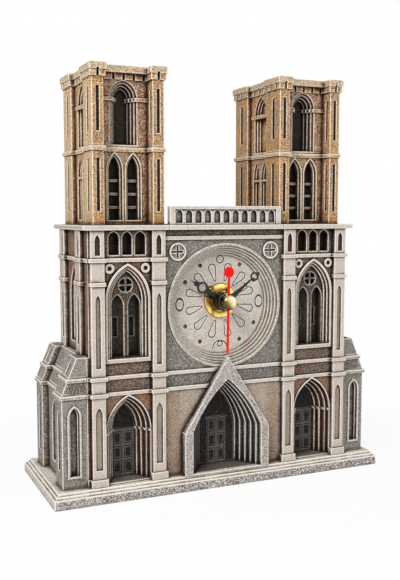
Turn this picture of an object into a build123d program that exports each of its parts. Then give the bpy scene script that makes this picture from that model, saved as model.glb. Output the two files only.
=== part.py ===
from build123d import *
import os
from math import cos, radians, sin

os.makedirs("parts", exist_ok=True)

# Everything is in millimetres: x to the right, y to the back, z up.
# The origin is the middle of the slab's underside.

# Slab and its two low steps
slab_side_margin = 5.3
slab_depth = 64.3
slab_height = 4.7
slab_margin = 3.6
step_count = 2
step_rise = 1.2
step_tread = 1.1

# Plan of the front
front_y = slab_margin - slab_depth / 2
floor_z = slab_height + step_count * step_rise
inner_x = 31.7
outer_x = 69.7
pilaster_width = 6.5
pilaster_inset = 1.9
pilaster_proud = 2.4
body_depth = 53.0
wall_y = front_y + pilaster_proud
back_y = front_y + body_depth
pilaster_outer = outer_x - pilaster_inset
bay_x = (inner_x + pilaster_outer) / 2
pilaster_xs = [inner_x + pilaster_width / 2, pilaster_outer - pilaster_width / 2]
side_setback = 1.2

# Levels of the front
plinth_top = 10.7
lower_string_z = 49.8
upper_string_z = 57.5
ledge_z = 67.7
band_z = 100.9
head_z = 111.7
cornice_z = 125.4
cornice_height = 2.2
bay_top = cornice_z + cornice_height

# Mouldings
string_height = 1.8
string_overhang = 0.9
cornice_overhang = 1.3
plinth_overhang = 0.8

# Narrow niches in the pilasters: width, foot, spring and apex of each
niche_depth = 0.9
low_niche = [3.2, 15.0, 40.5, 44.2]
long_niche = [2.3, 62.5, 93.0, 96.0]
short_niche = [2.4, 114.0, 120.5, 123.3]

# Side portals
portal_width = 21.6
portal_foot = 7.7
portal_spring = 31.6
portal_apex = 48.2
portal_orders = 4
portal_step = 1.6
portal_order_depth = 2.2
portal_door_pocket = 1.6
hood_width = 0.9
hood_proud = 0.7
portal_impost = [0.7, 1.1, 0.5]
door_thickness = 1.4
door_gap = 0.1
door_stile = 0.9
door_panel_depth = 0.5
door_groove = 0.55
door_meeting = 0.4
door_lintel = 1.3

# Bay windows
window_width = 22.2
window_foot = 64.3
window_sill = 1.8
window_spring = 92.9
window_apex = 110.2
window_frame = 1.2
window_frame_proud = 1.2
window_orders = 3
window_step = 1.25
window_order_depth = 1.2
window_back_depth = 7.0
tracery_thickness = 1.2
tracery_set = 2.6
light_width = 5.9
light_spring = 90.2
light_apex = 95.6
light_centre = 4.1
rose_z = 99.9
rose_radius = 3.3
rose_bar = 0.9
shutter_width = 2.3
shutter_height = 9.0
shutter_z = 80.0
shutter_depth = 1.2

# Ring bosses beside the window head
boss_offset = 8.7
boss_z = 107.9
boss_radius = 2.3
boss_bore = 1.05
boss_proud = 0.9

# Arcade over the window
arcade_foot = 114.0
arcade_spring = 121.6
arcade_apex = 124.6
arcade_middle_width = 4.6
arcade_side_width = 5.0
arcade_side_centre = 6.4
arcade_depth = 4.0

# Side walls of the bays above the end buttresses
side_pier_width = 8.0
side_pier_inset = 8.6
side_pier_proud = 2.1
side_band_proud = 0.6
side_window_width = 12.0
side_window_foot = 72.0
side_window_spring = 93.0
side_window_apex = 108.0
side_window_orders = 2
side_window_step = 1.5
side_window_depth = 1.3
side_pier_niche = [2.6, 72.5, 92.5, 95.5]
side_pier_short_niche = [2.4, 114.0, 120.5, 123.3]

# Centre wall and the movement bay behind it
dial_z = 88.6
dial_radius = 30.2
spindle_rise = 1.7
spindle_z = dial_z + spindle_rise
dial_fit = 0.15
front_wall = 9.6
niche_pocket_depth = 12.9
movement_bay_half = 29.4
movement_bay_drop = 30.0
movement_bay_rise = 29.8
cross_x = 24.8
cross_z = 115.0
cross_radius = 4.3
cross_proud = 1.0
cross_rim = 0.8
cross_groove = 0.9
cross_reach = 2.9
cross_depth = 0.7
frieze_mould_z = 120.6
frieze_mould_height = 1.8
centre_string_gap = 0.2

# Dial
dial_proud = 0.9
dial_ring_count = 5
dial_ring_step = 1.15
dial_ring_drop = 1.25
petal_count = 12
petal_inner = 9.8
petal_outer = 16.8
petal_tip_radius = 0.5
petal_head_radius = 2.1
petal_line = 0.5
relief = 0.4
mark_rise = 0.6
mark_radius = 21.5
mark_ring = 2.1
mark_line = 0.5
dot_radius = 1.1
leaf_length = 3.4
leaf_width = 4.6
arch_mark_width = 8.2
arch_mark_rise = 4.3
arch_mark_drop = 1.3
arch_eye_radius = 1.5

# Centre porch
porch_half = 22.7
porch_eave = 28.0
porch_apex = 63.9
porch_proud = 2.0
porch_opening_half = 18.4
porch_opening_spring = 28.5
porch_opening_apex = 53.0
porch_bulge = 1.8
porch_orders = 6
porch_step = 1.75
porch_apex_step = 1.3
porch_order_depth = 2.6
porch_fit = 0.15
porch_sleeve_wall = 1.2
porch_sill = 0.6
porch_door_half = 5.7
porch_door_top = 31.0

# End buttresses, which also set the length of the slab
end_reach = 11.8
end_x = outer_x + end_reach
slab_half_width = end_x + slab_side_margin
end_top_inset = 7.1
end_top_x = end_x - end_top_inset
end_front = 2.5
end_batter_z = 50.9
end_pier_depth = 12.4
end_rear_y = 40.9
end_wall_setback = 3.2
end_niche = [4.8, 13.0, 40.8, 45.0]
end_niche_inset = 5.8
end_niche_depth = 1.5
end_niche_orders = 2
end_niche_step = 0.8
end_slot = [3.2, 15.0, 39.5, 43.0]
end_slot_depth = 1.0
end_peak_slot = [2.2, 59.4, 63.6, 65.6]
end_peak_slot_depth = 7.4
end_window = [12.0, 13.0, 35.0, 44.0]
end_window_depth = 1.6

# Gallery
gallery_top = 136.5
gallery_thickness = 3.0
gallery_end_gap = 1.3
gallery_inset = 0.4
gallery_arches = 11
gallery_pitch = 4.9
gallery_arch = [3.3, 128.5, 132.4, 134.7]
gallery_arch_depth = 1.4
gallery_rail = 1.5
gallery_rail_overhang = 0.7
gallery_post = 2.6

# Towers
tower_inner_x = 30.7
tower_outer_inset = 4.3
tower_outer_x = outer_x - tower_outer_inset
tower_front = 3.8
tower_depth = 48.9
pier_width = 5.6
pier_depth = 14.0
tower_front_setback = 7.2
tower_side_setback = 2.2
tower_shaft_top = 197.0
tower_top = 200.2
tower_band_z = 162.4
tower_band_height = 2.0
tower_band_overhang = 0.8
slit_width = 1.4
side_slit_width = 2.2
slit_depth = 1.0
slit_levels = [[134.0, 158.0], [170.0, 190.0]]
return_slit_inset = 3.4
cap_overhang = 1.4
lip_front_setback = 4.2
lip_side_setback = 0.6
top_round = 0.9
corbel_slot_width = 1.1
corbel_slot_height = 3.6
corbel_slot_drop = 2.9
corbel_slot_in = 0.9
corbel_height = 2.9
corbel_proud = 0.9
front_slots = 7
side_slots = 9
lancet_light = [7.3, 129.8, 153.0, 160.4]
lancet_pier = 1.8
surround_width = 0.55
surround_proud = 0.4
lancet_orders = 2
lancet_step = 1.0
lancet_order_depth = 1.3
lancet_back_depth = 5.4
louvre_zs = [135.2, 141.4, 147.6]
louvre_height = 1.2
louvre_depth = 1.6
louvre_set = 2.8
great_arch = [13.0, 164.6, 186.2, 193.8]
great_orders = 4
great_step = 1.1
great_order_depth = 1.7
tower_impost = [1.1, 1.7, 0.85]
side_light = [6.4, 130.0, 152.0, 159.4]
side_light_gap = 2.0
side_arch = [12.4, 164.6, 184.0, 193.2]
side_orders = 3
side_step = 1.0
side_order_depth = 1.1
transom_height = 1.0
transom_z = 149.5
side_impost_reach = 9.6
side_impost_proud = 0.5

# Movement case
movement_half = 28.0
movement_depth = 16.0
movement_corner = 3.0
case_wall = 1.2
gasket_thickness = 0.5
gasket_radius = 11.0
bush_radius = 4.0
bush_hole_fit = 0.25
thread_proud = 3.7
washer_radius = 8.5
washer_thickness = 0.8
nut_radius = 5.6
nut_thickness = 2.2
seat_gap = 0.05

# Cell and its bay
cell_radius = 7.1
cell_length = 49.5
cell_nub_radius = 2.7
cell_nub_length = 1.0
cell_drop = 19.6
cell_bay_wall = 1.0
cell_room = 0.35
contact_thickness = 0.4
contact_half = 4.0

# Wheels: tooth counts, modules and layers measured from the case front
wheel_module = 0.22
third_mesh_teeth = [8, 64]
centre_mesh_teeth = [8, 60]
seconds_mesh_teeth = [12, 60]
rotor_mesh_teeth = [10, 60]
cannon_mesh_teeth = [12, 36]
hour_mesh_teeth = [10, 40]
setting_mesh_teeth = [12, 36]
motion_module = 0.3
addendum_share = 0.7
dedendum_share = 1.05
root_share = 0.44
tip_share = 0.2
wheel_thickness = 0.7
pinion_extra = 0.25
hour_wheel_y = 1.6
minute_wheel_y = 3.3
centre_wheel_y = 4.9
third_wheel_y = 6.6
seconds_wheel_y = 8.3
intermediate_wheel_y = 10.0
arbor_radius = 0.5
sleeve_gap = 0.09
cannon_radius = 1.4
hour_tube_radius = 2.5
post_radius = 0.7
pivot_length = 0.9
rotor_angle = 135
setting_angle = 45

# Coil, stator, board and rotor magnet, placed from the centre shaft
magnet_radius = 1.6
magnet_length = 1.7
stator_thickness = 0.8
stator_rise = 0.4
stator_bore = 2.1
stator_left = 21.0
stator_right = 2.0
stator_foot = 1.8
stator_block_top = 9.4
stator_limb = 3.0
coil_drop = 20.6
coil_core = 1.1
bobbin_fit = 0.1
bobbin_wall = 0.5
bobbin_flange = 0.7
bobbin_end_gap = 0.2
winding_thickness = 1.2
flange_lip = 0.2
board_y = 9.0
board_thickness = 0.8
board_width = 15.0
board_height = 13.0
board_x = 18.4
board_rise = 16.6
board_post_inset = 1.5
chip_radius = 2.6
chip_height = 0.9
crystal_radius = 0.9
crystal_length = 5.6
crystal_drop = 4.2

# Setting knob
knob_radius = 6.0
knob_length = 3.2
knob_ribs = 24
knob_rib_depth = 0.35
knob_stem_radius = 1.5
knob_gap = 0.4

# Hands, with their outlines in shares of each hand's length, pointing up
hand_thickness = 0.4
hand_lift = 0.3
hand_gap = 0.35
hub_height = 1.9
hour_hand_length = 21.1
minute_hand_length = 22.9
second_hand_length = 24.7
hour_hand_angle = -302
minute_hand_angle = -52
second_hand_angle = 179
hour_hub_radius = 4.7
minute_hub_radius = 3.8
second_hub_radius = 1.3
second_hub_height = 0.8
second_hand_width = 1.15
counter_reach = 14.6
counter_radius = 2.6
cap_radius = 3.7
cap_height = 2.6
cap_round = 1.6
collar_radius = 4.1
collar_height = 0.5
hour_blade_shares = [(-0.075, 0.1), (-0.035, 0.52), (0.035, 0.52), (0.075, 0.1)]
hour_point_shares = [
    (-0.03, 0.75),
    (-0.07, 0.83),
    (-0.02, 0.88),
    (0, 1),
    (0.02, 0.88),
    (0.07, 0.83),
    (0.03, 0.75),
]
hour_ring_shares = [0.64, 0.137, 0.09]
hour_curl_shares = [0.085, 0.46, 0.064, 0.026]
minute_blade_shares = [
    (-0.068, 0.1),
    (-0.024, 0.54),
    (-0.017, 0.78),
    (0.017, 0.78),
    (0.024, 0.54),
    (0.068, 0.1),
]
minute_point_shares = [(-0.08, 0.875), (0, 1), (0.08, 0.875)]
minute_ring_shares = [0.845, 0.095, 0.06]
minute_bar_shares = [0.57, 0.11, 0.026]

# Shared allowances
overrun = 2.0
face_gap = 0.05


# A pointed arch on its foot, flat, about x = 0
def lancet(width, foot, spring, apex):
    half = width / 2
    with BuildSketch(mode=Mode.PRIVATE) as shape:
        with BuildLine():
            Polyline((-half, spring), (-half, foot), (half, foot), (half, spring))
            TangentArc((half, spring), (0, apex), tangent=(0, 1))
            TangentArc((-half, spring), (0, apex), tangent=(0, 1))
        make_face()
    return shape.sketch


# The porch's arch, flat: nearly straight sides over its jambs, drawn in by an inset
def porch_arch(inset, foot):
    half = porch_opening_half - inset
    apex = porch_opening_apex - inset * porch_apex_step / porch_step
    rise = apex - porch_opening_spring
    lean = (half**2 + rise**2) ** (1 / 2)
    swell = (half / 2 + porch_bulge * rise / lean, porch_opening_spring + rise / 2 + porch_bulge * half / lean)
    with BuildSketch(mode=Mode.PRIVATE) as shape:
        with BuildLine():
            Polyline((-half, porch_opening_spring), (-half, foot), (half, foot), (half, porch_opening_spring))
            ThreePointArc((half, porch_opening_spring), swell, (0, apex))
            ThreePointArc((-half, porch_opening_spring), (-swell[0], swell[1]), (0, apex))
        make_face()
    return shape.sketch


# A drop-shaped petal that points at the middle, flat, along +x
def petal(inner, outer, tip, head):
    with BuildSketch(mode=Mode.PRIVATE) as shape:
        with BuildLine():
            Line((inner, -tip), (outer, -head))
            ThreePointArc((outer, -head), (outer + head, 0), (outer, head))
            Line((outer, head), (inner, tip))
            Line((inner, tip), (inner, -tip))
        make_face()
    return shape.sketch


# A low round arch on its chord
def arch_mark(width, rise):
    with BuildSketch(mode=Mode.PRIVATE) as shape:
        with BuildLine():
            ThreePointArc((-width / 2, 0), (0, rise), (width / 2, 0))
            Line((width / 2, 0), (-width / 2, 0))
        make_face()
    return shape.sketch


# A plane that faces forward at depth y
def facing(y):
    return Plane.XZ.offset(-y)


# Pointed recess seen from the front or back: each order is narrower and deeper than the last
def carve_orders(face_y, side, centres, arch, orders, step, depth):
    width, foot, spring, apex = arch
    for order in range(orders):
        inset = order * step
        with BuildSketch(facing(face_y)) as cut:
            with Locations(*[(x, 0) for x in centres]):
                add(lancet(width - 2 * inset, foot, spring, apex - inset))
        extrude(cut.sketch, amount=-side * (order + 1) * depth, mode=Mode.SUBTRACT)


# The same recess in a wall that looks along x
def carve_side_orders(face_x, side, centres, arch, orders, step, depth):
    width, foot, spring, apex = arch
    for order in range(orders):
        inset = order * step
        with BuildSketch(Plane.YZ.offset(face_x)) as cut:
            with Locations(*[(y, 0) for y in centres]):
                add(lancet(width - 2 * inset, foot, spring, apex - inset))
        extrude(cut.sketch, amount=-side * (order + 1) * depth, mode=Mode.SUBTRACT)


# Thin raised moulding about pointed openings, which are carved through it afterwards
def raise_surround(face_y, side, centres, arch):
    width, foot, spring, apex = arch
    outline = lancet(width + 2 * surround_width, foot - surround_width, spring, apex + 2 * surround_width)
    with BuildSketch(facing(face_y)) as surround:
        with Locations(*[(x, 0) for x in centres]):
            add(outline)
    extrude(surround.sketch, amount=side * surround_proud)


# A block between two corners
def block(x0, x1, y0, y1, z0, z1, mode=Mode.ADD):
    with BuildSketch(Plane.XY.offset(z0)) as base:
        with Locations(((x0 + x1) / 2, (y0 + y1) / 2)):
            Rectangle(abs(x1 - x0), abs(y1 - y0))
    extrude(base.sketch, amount=z1 - z0, mode=mode)


# The outline of the porch gable
def gable_face(half, eave, apex):
    with BuildSketch(mode=Mode.PRIVATE) as shape:
        with BuildLine():
            Polyline((-half, floor_z), (-half, eave), (0, apex), (half, eave), (half, floor_z), close=True)
        make_face()
    return shape.sketch


# Two panelled door leaves in a blind wall of the given outline, with a groove round each panel
def panelled_doors(centre_x, door_back, outline, half, foot, top):
    with BuildSketch(facing(door_back)) as leaf:
        with Locations((centre_x, 0)):
            add(outline)
    extrude(leaf.sketch, amount=door_thickness)
    panel_width = half - 3 * door_stile / 2
    panel_height = (top - foot - 4 * door_stile) / 3
    with BuildSketch(facing(door_back - door_thickness)) as panels:
        for row in range(3):
            panel_z = foot + door_stile + panel_height / 2 + row * (panel_height + door_stile)
            for side in (-1, 1):
                with Locations((centre_x + side * (panel_width + door_stile) / 2, panel_z)):
                    Rectangle(panel_width, panel_height)
                    Rectangle(panel_width - 2 * door_groove, panel_height - 2 * door_groove, mode=Mode.SUBTRACT)
        with Locations((centre_x, (foot + top) / 2)):
            Rectangle(door_meeting, top - foot)
        with Locations((centre_x, top)):
            Rectangle(2 * half, door_meeting)
    extrude(panels.sketch, amount=-door_panel_depth, mode=Mode.SUBTRACT)


# Small caps that cross the stepped jambs of an opening at the spring
def imposts(face_y, side, centre_x, width, spring, orders, step, depth, cap):
    cap_width, cap_rise, cap_proud = cap
    with BuildSketch(Plane.XY.offset(spring - cap_rise)) as plan:
        for order in range(orders):
            edge = width / 2 - order * step
            near = face_y + side * (order * depth - cap_proud)
            far = face_y + side * (order + 1) * depth
            for hand in (-1, 1):
                with Locations((centre_x + hand * (edge - cap_width / 2), (near + far) / 2)):
                    Rectangle(cap_width, abs(far - near))
    extrude(plan.sketch, amount=cap_rise)


# Plinth and strings of a bay, each wrapped round its pilasters
def bay_moulding(z, height, overhang, side_wall):
    side_x = outer_x - side_setback
    wall_end = side_x + overhang if side_wall else outer_x
    with BuildSketch(Plane.XY.offset(z)) as plan:
        for x in pilaster_xs:
            with Locations((x, front_y + (pilaster_proud - overhang) / 2)):
                Rectangle(pilaster_width + 2 * overhang, pilaster_proud + overhang)
        with Locations(((inner_x + wall_end) / 2, wall_y)):
            Rectangle(wall_end - inner_x, 2 * overhang)
        if side_wall:
            with Locations((side_x, (wall_y + back_y) / 2)):
                Rectangle(2 * overhang, body_depth - pilaster_proud)
            for y in side_pier_ys:
                with Locations((side_x + (side_pier_proud + side_band_proud) / 2, y)):
                    Rectangle(side_pier_proud + side_band_proud, side_pier_width + 2 * overhang)
    extrude(plan.sketch, amount=height)


side_pier_ys = [
    front_y + side_pier_inset + side_pier_width / 2,
    back_y - side_pier_inset - side_pier_width / 2,
]

side_pier_face = outer_x - side_setback + side_pier_proud

# Base slab with two low steps
with BuildPart() as base_plinth:
    for step in range(step_count + 1):
        inset = step * step_tread
        with BuildSketch(Plane.XY) as plan:
            Rectangle(2 * (slab_half_width - inset), slab_depth - 2 * inset)
        extrude(plan.sketch, amount=slab_height + step * step_rise)
base_plinth.part.label = "base_plinth"

# Right bay: the lower part of a tower
with BuildPart() as bay_right:
    block(inner_x, outer_x, wall_y, back_y, floor_z, ledge_z)
    block(inner_x, outer_x - side_setback, wall_y, back_y, ledge_z, bay_top)
    with BuildSketch(Plane.XY.offset(floor_z)) as pilasters:
        with Locations(*[(x, front_y + pilaster_proud) for x in pilaster_xs]):
            Rectangle(pilaster_width, 2 * pilaster_proud)
    extrude(pilasters.sketch, amount=bay_top - floor_z)
    with BuildSketch(Plane.XY.offset(ledge_z)) as side_piers:
        with Locations(*[(outer_x - side_setback, y) for y in side_pier_ys]):
            Rectangle(2 * side_pier_proud, side_pier_width)
    extrude(side_piers.sketch, amount=bay_top - ledge_z)
    bay_moulding(floor_z, plinth_top - floor_z, plinth_overhang, False)
    bay_moulding(lower_string_z - string_height / 2, string_height, string_overhang, False)
    bay_moulding(upper_string_z - string_height / 2, string_height, string_overhang, False)
    bay_moulding(head_z - string_height / 2, string_height, string_overhang, True)
    cornice_front = front_y - cornice_overhang
    cornice_side = side_pier_face + side_band_proud
    block(inner_x, cornice_side, cornice_front, back_y, cornice_z, bay_top)
    block(inner_x - cornice_overhang, inner_x, cornice_front, wall_y, cornice_z, bay_top)
    with BuildSketch(Plane.XY.offset(band_z - string_height / 2)) as band:
        for x in pilaster_xs:
            with Locations((x, front_y + (pilaster_proud - string_overhang) / 2)):
                Rectangle(pilaster_width + string_overhang, pilaster_proud + string_overhang)
        for y in side_pier_ys:
            with Locations((outer_x - side_setback + (side_pier_proud + side_band_proud) / 2, y)):
                Rectangle(side_pier_proud + side_band_proud, side_pier_width + 2 * string_overhang)
    extrude(band.sketch, amount=string_height)
    # Niches in the pilasters
    with BuildSketch(facing(front_y)) as niches:
        with Locations(*[(x, 0) for x in pilaster_xs]):
            for niche in (low_niche, long_niche, short_niche):
                add(lancet(*niche))
    extrude(niches.sketch, amount=-niche_depth, mode=Mode.SUBTRACT)
    # Portal
    with BuildSketch(facing(wall_y)) as hood:
        with Locations((bay_x, 0)):
            add(lancet(portal_width + hood_width, portal_foot, portal_spring, portal_apex + hood_width))
    extrude(hood.sketch, amount=hood_proud)
    portal = [portal_width, portal_foot, portal_spring, portal_apex]
    mouth_proud = max(hood_proud, plinth_overhang)
    mouth_order_depth = portal_order_depth + mouth_proud / portal_orders
    carve_orders(
        wall_y - mouth_proud, 1, [bay_x], portal, portal_orders, portal_step, mouth_order_depth
    )
    portal_inner = portal_width - 2 * (portal_orders - 1) * portal_step
    portal_inner_apex = portal_apex - (portal_orders - 1) * portal_step
    portal_floor_y = wall_y + portal_orders * portal_order_depth
    with BuildSketch(facing(portal_floor_y)) as pocket:
        with Locations((bay_x, 0)):
            add(lancet(portal_inner, portal_foot, portal_spring, portal_inner_apex))
    extrude(pocket.sketch, amount=-portal_door_pocket, mode=Mode.SUBTRACT)
    imposts(
        wall_y,
        1,
        bay_x,
        portal_width,
        portal_spring,
        portal_orders,
        portal_step,
        portal_order_depth,
        portal_impost,
    )
    # Window with its frame, stepped orders and tracery
    with BuildSketch(facing(wall_y)) as frame:
        with Locations((bay_x, 0)):
            add(lancet(window_width, window_foot, window_spring, window_apex))
    extrude(frame.sketch, amount=window_frame_proud)
    opening_foot = window_foot + window_sill
    opening = [
        window_width - 2 * window_frame,
        opening_foot,
        window_spring,
        window_apex - window_frame,
    ]
    carve_orders(
        wall_y - window_frame_proud,
        1,
        [bay_x],
        opening,
        window_orders,
        window_step,
        window_order_depth,
    )
    inner_width = opening[0] - 2 * (window_orders - 1) * window_step
    inner_apex = opening[3] - (window_orders - 1) * window_step
    with BuildSketch(facing(wall_y)) as window_hollow:
        with Locations((bay_x, 0)):
            add(lancet(inner_width, opening_foot, window_spring, inner_apex))
    extrude(window_hollow.sketch, amount=-window_back_depth, mode=Mode.SUBTRACT)
    with BuildSketch(facing(wall_y + tracery_set)) as tracery:
        with Locations((bay_x, 0)):
            add(lancet(inner_width, opening_foot, window_spring, inner_apex))
        with Locations((bay_x - light_centre, 0), (bay_x + light_centre, 0)):
            add(lancet(light_width, opening_foot, light_spring, light_apex), mode=Mode.SUBTRACT)
        with Locations((bay_x, rose_z)):
            Circle(rose_radius, mode=Mode.SUBTRACT)
            Rectangle(2 * rose_radius, rose_bar)
            Rectangle(rose_bar, 2 * rose_radius)
    extrude(tracery.sketch, amount=-tracery_thickness)
    with BuildSketch(facing(wall_y + window_back_depth)) as shutters:
        with Locations((bay_x - light_centre, shutter_z), (bay_x + light_centre, shutter_z)):
            Rectangle(shutter_width, shutter_height)
    extrude(shutters.sketch, amount=-shutter_depth, mode=Mode.SUBTRACT)
    # Ring bosses and arcade
    with BuildSketch(facing(wall_y)) as bosses:
        with Locations((bay_x - boss_offset, boss_z), (bay_x + boss_offset, boss_z)):
            Circle(boss_radius)
            Circle(boss_bore, mode=Mode.SUBTRACT)
    extrude(bosses.sketch, amount=boss_proud)
    with BuildSketch(facing(wall_y)) as arcade:
        with Locations((bay_x, 0)):
            add(lancet(arcade_middle_width, arcade_foot, arcade_spring, arcade_apex))
        with Locations((bay_x - arcade_side_centre, 0), (bay_x + arcade_side_centre, 0)):
            add(lancet(arcade_side_width, arcade_foot, arcade_spring, arcade_apex))
    extrude(arcade.sketch, amount=-arcade_depth, mode=Mode.SUBTRACT)
    # Side window above the buttresses
    side_window = [side_window_width, side_window_foot, side_window_spring, side_window_apex]
    carve_side_orders(
        outer_x - side_setback,
        1,
        [(front_y + back_y) / 2],
        side_window,
        side_window_orders,
        side_window_step,
        side_window_depth,
    )
    for niche in (side_pier_niche, side_pier_short_niche):
        carve_side_orders(side_pier_face, 1, side_pier_ys, niche, 1, niche_depth, niche_depth)
bay_right.part.label = "bay_right"

with BuildPart() as bay_left:
    mirror(bay_right.part, about=Plane.YZ)
bay_left.part.label = "bay_left"

# Panelled doors at the back of the right side portal
with BuildPart() as side_door_right:
    door_foot = portal_foot + door_gap
    door_half = portal_inner / 2 - door_gap
    panelled_doors(
        bay_x,
        portal_floor_y + portal_door_pocket - door_gap,
        lancet(2 * door_half, door_foot, portal_spring, portal_inner_apex - door_gap),
        door_half,
        door_foot,
        portal_spring - door_lintel,
    )
side_door_right.part.label = "side_door_right"

with BuildPart() as side_door_left:
    mirror(side_door_right.part, about=Plane.YZ)
side_door_left.part.label = "side_door_left"

# Centre wall: seat for the dial, pocket for the porch, open bay behind for the movement
with BuildPart() as centre_wall:
    centre_half = inner_x - face_gap
    block(-centre_half, centre_half, wall_y, back_y, floor_z, bay_top)
    string_half = inner_x - string_overhang - centre_string_gap
    for z in (lower_string_z, upper_string_z):
        string_foot = z - string_height / 2
        string_head = string_foot + string_height
        block(-string_half, string_half, wall_y - string_overhang, wall_y, string_foot, string_head)
    mould_top = frieze_mould_z + frieze_mould_height
    block(-centre_half, centre_half, wall_y - string_overhang, wall_y, frieze_mould_z, mould_top)
    cornice_half = inner_x - cornice_overhang - centre_string_gap
    block(-cornice_half, cornice_half, cornice_front, wall_y, cornice_z, bay_top)
    block(
        -movement_bay_half,
        movement_bay_half,
        wall_y + front_wall,
        back_y + overrun,
        spindle_z - movement_bay_drop,
        spindle_z + movement_bay_rise,
        Mode.SUBTRACT,
    )
    with BuildSketch(facing(front_y - overrun)) as dial_seat:
        with Locations((0, dial_z)):
            Circle(dial_radius + dial_fit)
    extrude(dial_seat.sketch, amount=-(pilaster_proud + front_wall + 2 * overrun), mode=Mode.SUBTRACT)
    with BuildSketch(facing(front_y - overrun)) as porch_seat:
        add(porch_arch(-porch_sleeve_wall - 2 * porch_fit, floor_z))
    extrude(porch_seat.sketch, amount=-(pilaster_proud + niche_pocket_depth + overrun), mode=Mode.SUBTRACT)
    with BuildSketch(facing(front_y - overrun)) as gable_seat:
        seat_half = porch_half + porch_fit
        add(gable_face(seat_half, porch_eave + porch_fit, porch_apex + 2 * porch_fit))
    extrude(gable_seat.sketch, amount=-(pilaster_proud + overrun), mode=Mode.SUBTRACT)
    with BuildSketch(facing(wall_y)) as crosses:
        with Locations((-cross_x, cross_z), (cross_x, cross_z)):
            Circle(cross_radius)
    extrude(crosses.sketch, amount=cross_proud)
    with BuildSketch(facing(wall_y - cross_proud)) as cross_cuts:
        with Locations((-cross_x, cross_z), (cross_x, cross_z)):
            Rectangle(2 * cross_reach, cross_groove)
            Rectangle(cross_groove, 2 * cross_reach)
    extrude(cross_cuts.sketch, amount=-(cross_proud + cross_depth), mode=Mode.SUBTRACT)
    with BuildSketch(facing(wall_y - cross_proud)) as cross_fields:
        with Locations((-cross_x, cross_z), (cross_x, cross_z)):
            Circle(cross_radius - cross_rim)
    extrude(cross_fields.sketch, amount=-(cross_proud - relief), mode=Mode.SUBTRACT)
centre_wall.part.label = "centre_wall"

# Dial with stepped rings and its petal relief
dial_front = wall_y - dial_proud
dial_face_y = dial_front + dial_ring_count * dial_ring_drop
dial_back = wall_y + front_wall
with BuildPart() as dial:
    with BuildSketch(facing(dial_front)) as disc:
        with Locations((0, dial_z)):
            Circle(dial_radius)
    extrude(disc.sketch, amount=-(dial_back - dial_front))
    for ring in range(dial_ring_count):
        with BuildSketch(facing(dial_front)) as step_cut:
            with Locations((0, dial_z)):
                Circle(dial_radius - (ring + 1) * dial_ring_step)
        extrude(step_cut.sketch, amount=-(ring + 1) * dial_ring_drop, mode=Mode.SUBTRACT)
    # Outlined petals between the hours, with a ring, an arch, two leaves and dots at the hours
    with BuildSketch(facing(dial_face_y)) as grooves:
        with Locations((0, spindle_z)):
            with PolarLocations(0, petal_count, start_angle=180 / petal_count):
                add(petal(petal_inner, petal_outer, petal_tip_radius, petal_head_radius))
                add(
                    petal(
                        petal_inner + petal_line,
                        petal_outer,
                        petal_tip_radius - petal_line / 2,
                        petal_head_radius - petal_line,
                    ),
                    mode=Mode.SUBTRACT,
                )
        mark_z = dial_z + mark_rise
        with Locations((0, mark_z + mark_radius)):
            Circle(mark_ring)
            Circle(mark_ring - mark_line, mode=Mode.SUBTRACT)
        with Locations((0, mark_z - mark_radius - arch_mark_drop)):
            add(arch_mark(arch_mark_width, arch_mark_rise))
            add(arch_mark(arch_mark_width - 2 * mark_line, arch_mark_rise - mark_line), mode=Mode.SUBTRACT)
        with Locations((0, mark_z - mark_radius - arch_mark_drop + arch_eye_radius + 2 * mark_line)):
            Circle(arch_eye_radius)
            Circle(arch_eye_radius - mark_line, mode=Mode.SUBTRACT)
        for side in (-1, 1):
            with Locations((side * mark_radius, mark_z)):
                Ellipse(leaf_width / 2, leaf_length)
                Ellipse(leaf_width / 2 - mark_line, leaf_length - 2 * mark_line, mode=Mode.SUBTRACT)
        for hour in (1, 2, 4, 5, 7, 8, 10, 11):
            angle = radians(hour * 360 / 12)
            with Locations((mark_radius * sin(angle), mark_z + mark_radius * cos(angle))):
                Circle(dot_radius)
    extrude(grooves.sketch, amount=-relief, mode=Mode.SUBTRACT)
    # Bush hole
    with BuildSketch(facing(dial_front)) as bush_hole:
        with Locations((0, spindle_z)):
            Circle(bush_radius + bush_hole_fit)
    extrude(bush_hole.sketch, amount=-(dial_back - dial_front + overrun), mode=Mode.SUBTRACT)
dial.part.label = "dial"

# Gabled centre porch: a flat gable on the wall and a stepped niche set into it
with BuildPart() as porch:
    porch_front = front_y - porch_proud
    porch_back = wall_y + niche_pocket_depth - porch_fit
    with BuildSketch(facing(porch_front)) as gable:
        add(gable_face(porch_half, porch_eave, porch_apex))
    extrude(gable.sketch, amount=-(wall_y - porch_front - face_gap))
    with BuildSketch(facing(wall_y - face_gap)) as sleeve:
        add(porch_arch(-porch_sleeve_wall, floor_z))
    extrude(sleeve.sketch, amount=-(porch_back - wall_y + face_gap))
    for order in range(porch_orders):
        with BuildSketch(facing(porch_front)) as mouth:
            add(porch_arch(order * porch_step, floor_z + porch_sill))
        extrude(mouth.sketch, amount=-(order + 1) * porch_order_depth, mode=Mode.SUBTRACT)
    with BuildSketch(facing(dial_front - dial_fit)) as dial_clear:
        with Locations((0, dial_z)):
            Circle(dial_radius + dial_fit)
    extrude(dial_clear.sketch, amount=-(dial_fit + dial_proud + overrun), mode=Mode.SUBTRACT)
porch.part.label = "porch"

# Pair of centre doors in the wall at the back of the porch
with BuildPart() as centre_doors:
    panelled_doors(
        0,
        porch_front + porch_orders * porch_order_depth - door_gap,
        porch_arch((porch_orders - 1) * porch_step + door_gap, floor_z + porch_sill + door_gap),
        porch_door_half,
        floor_z + porch_sill + door_gap,
        porch_door_top,
    )
centre_doors.part.label = "centre_doors"

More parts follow.
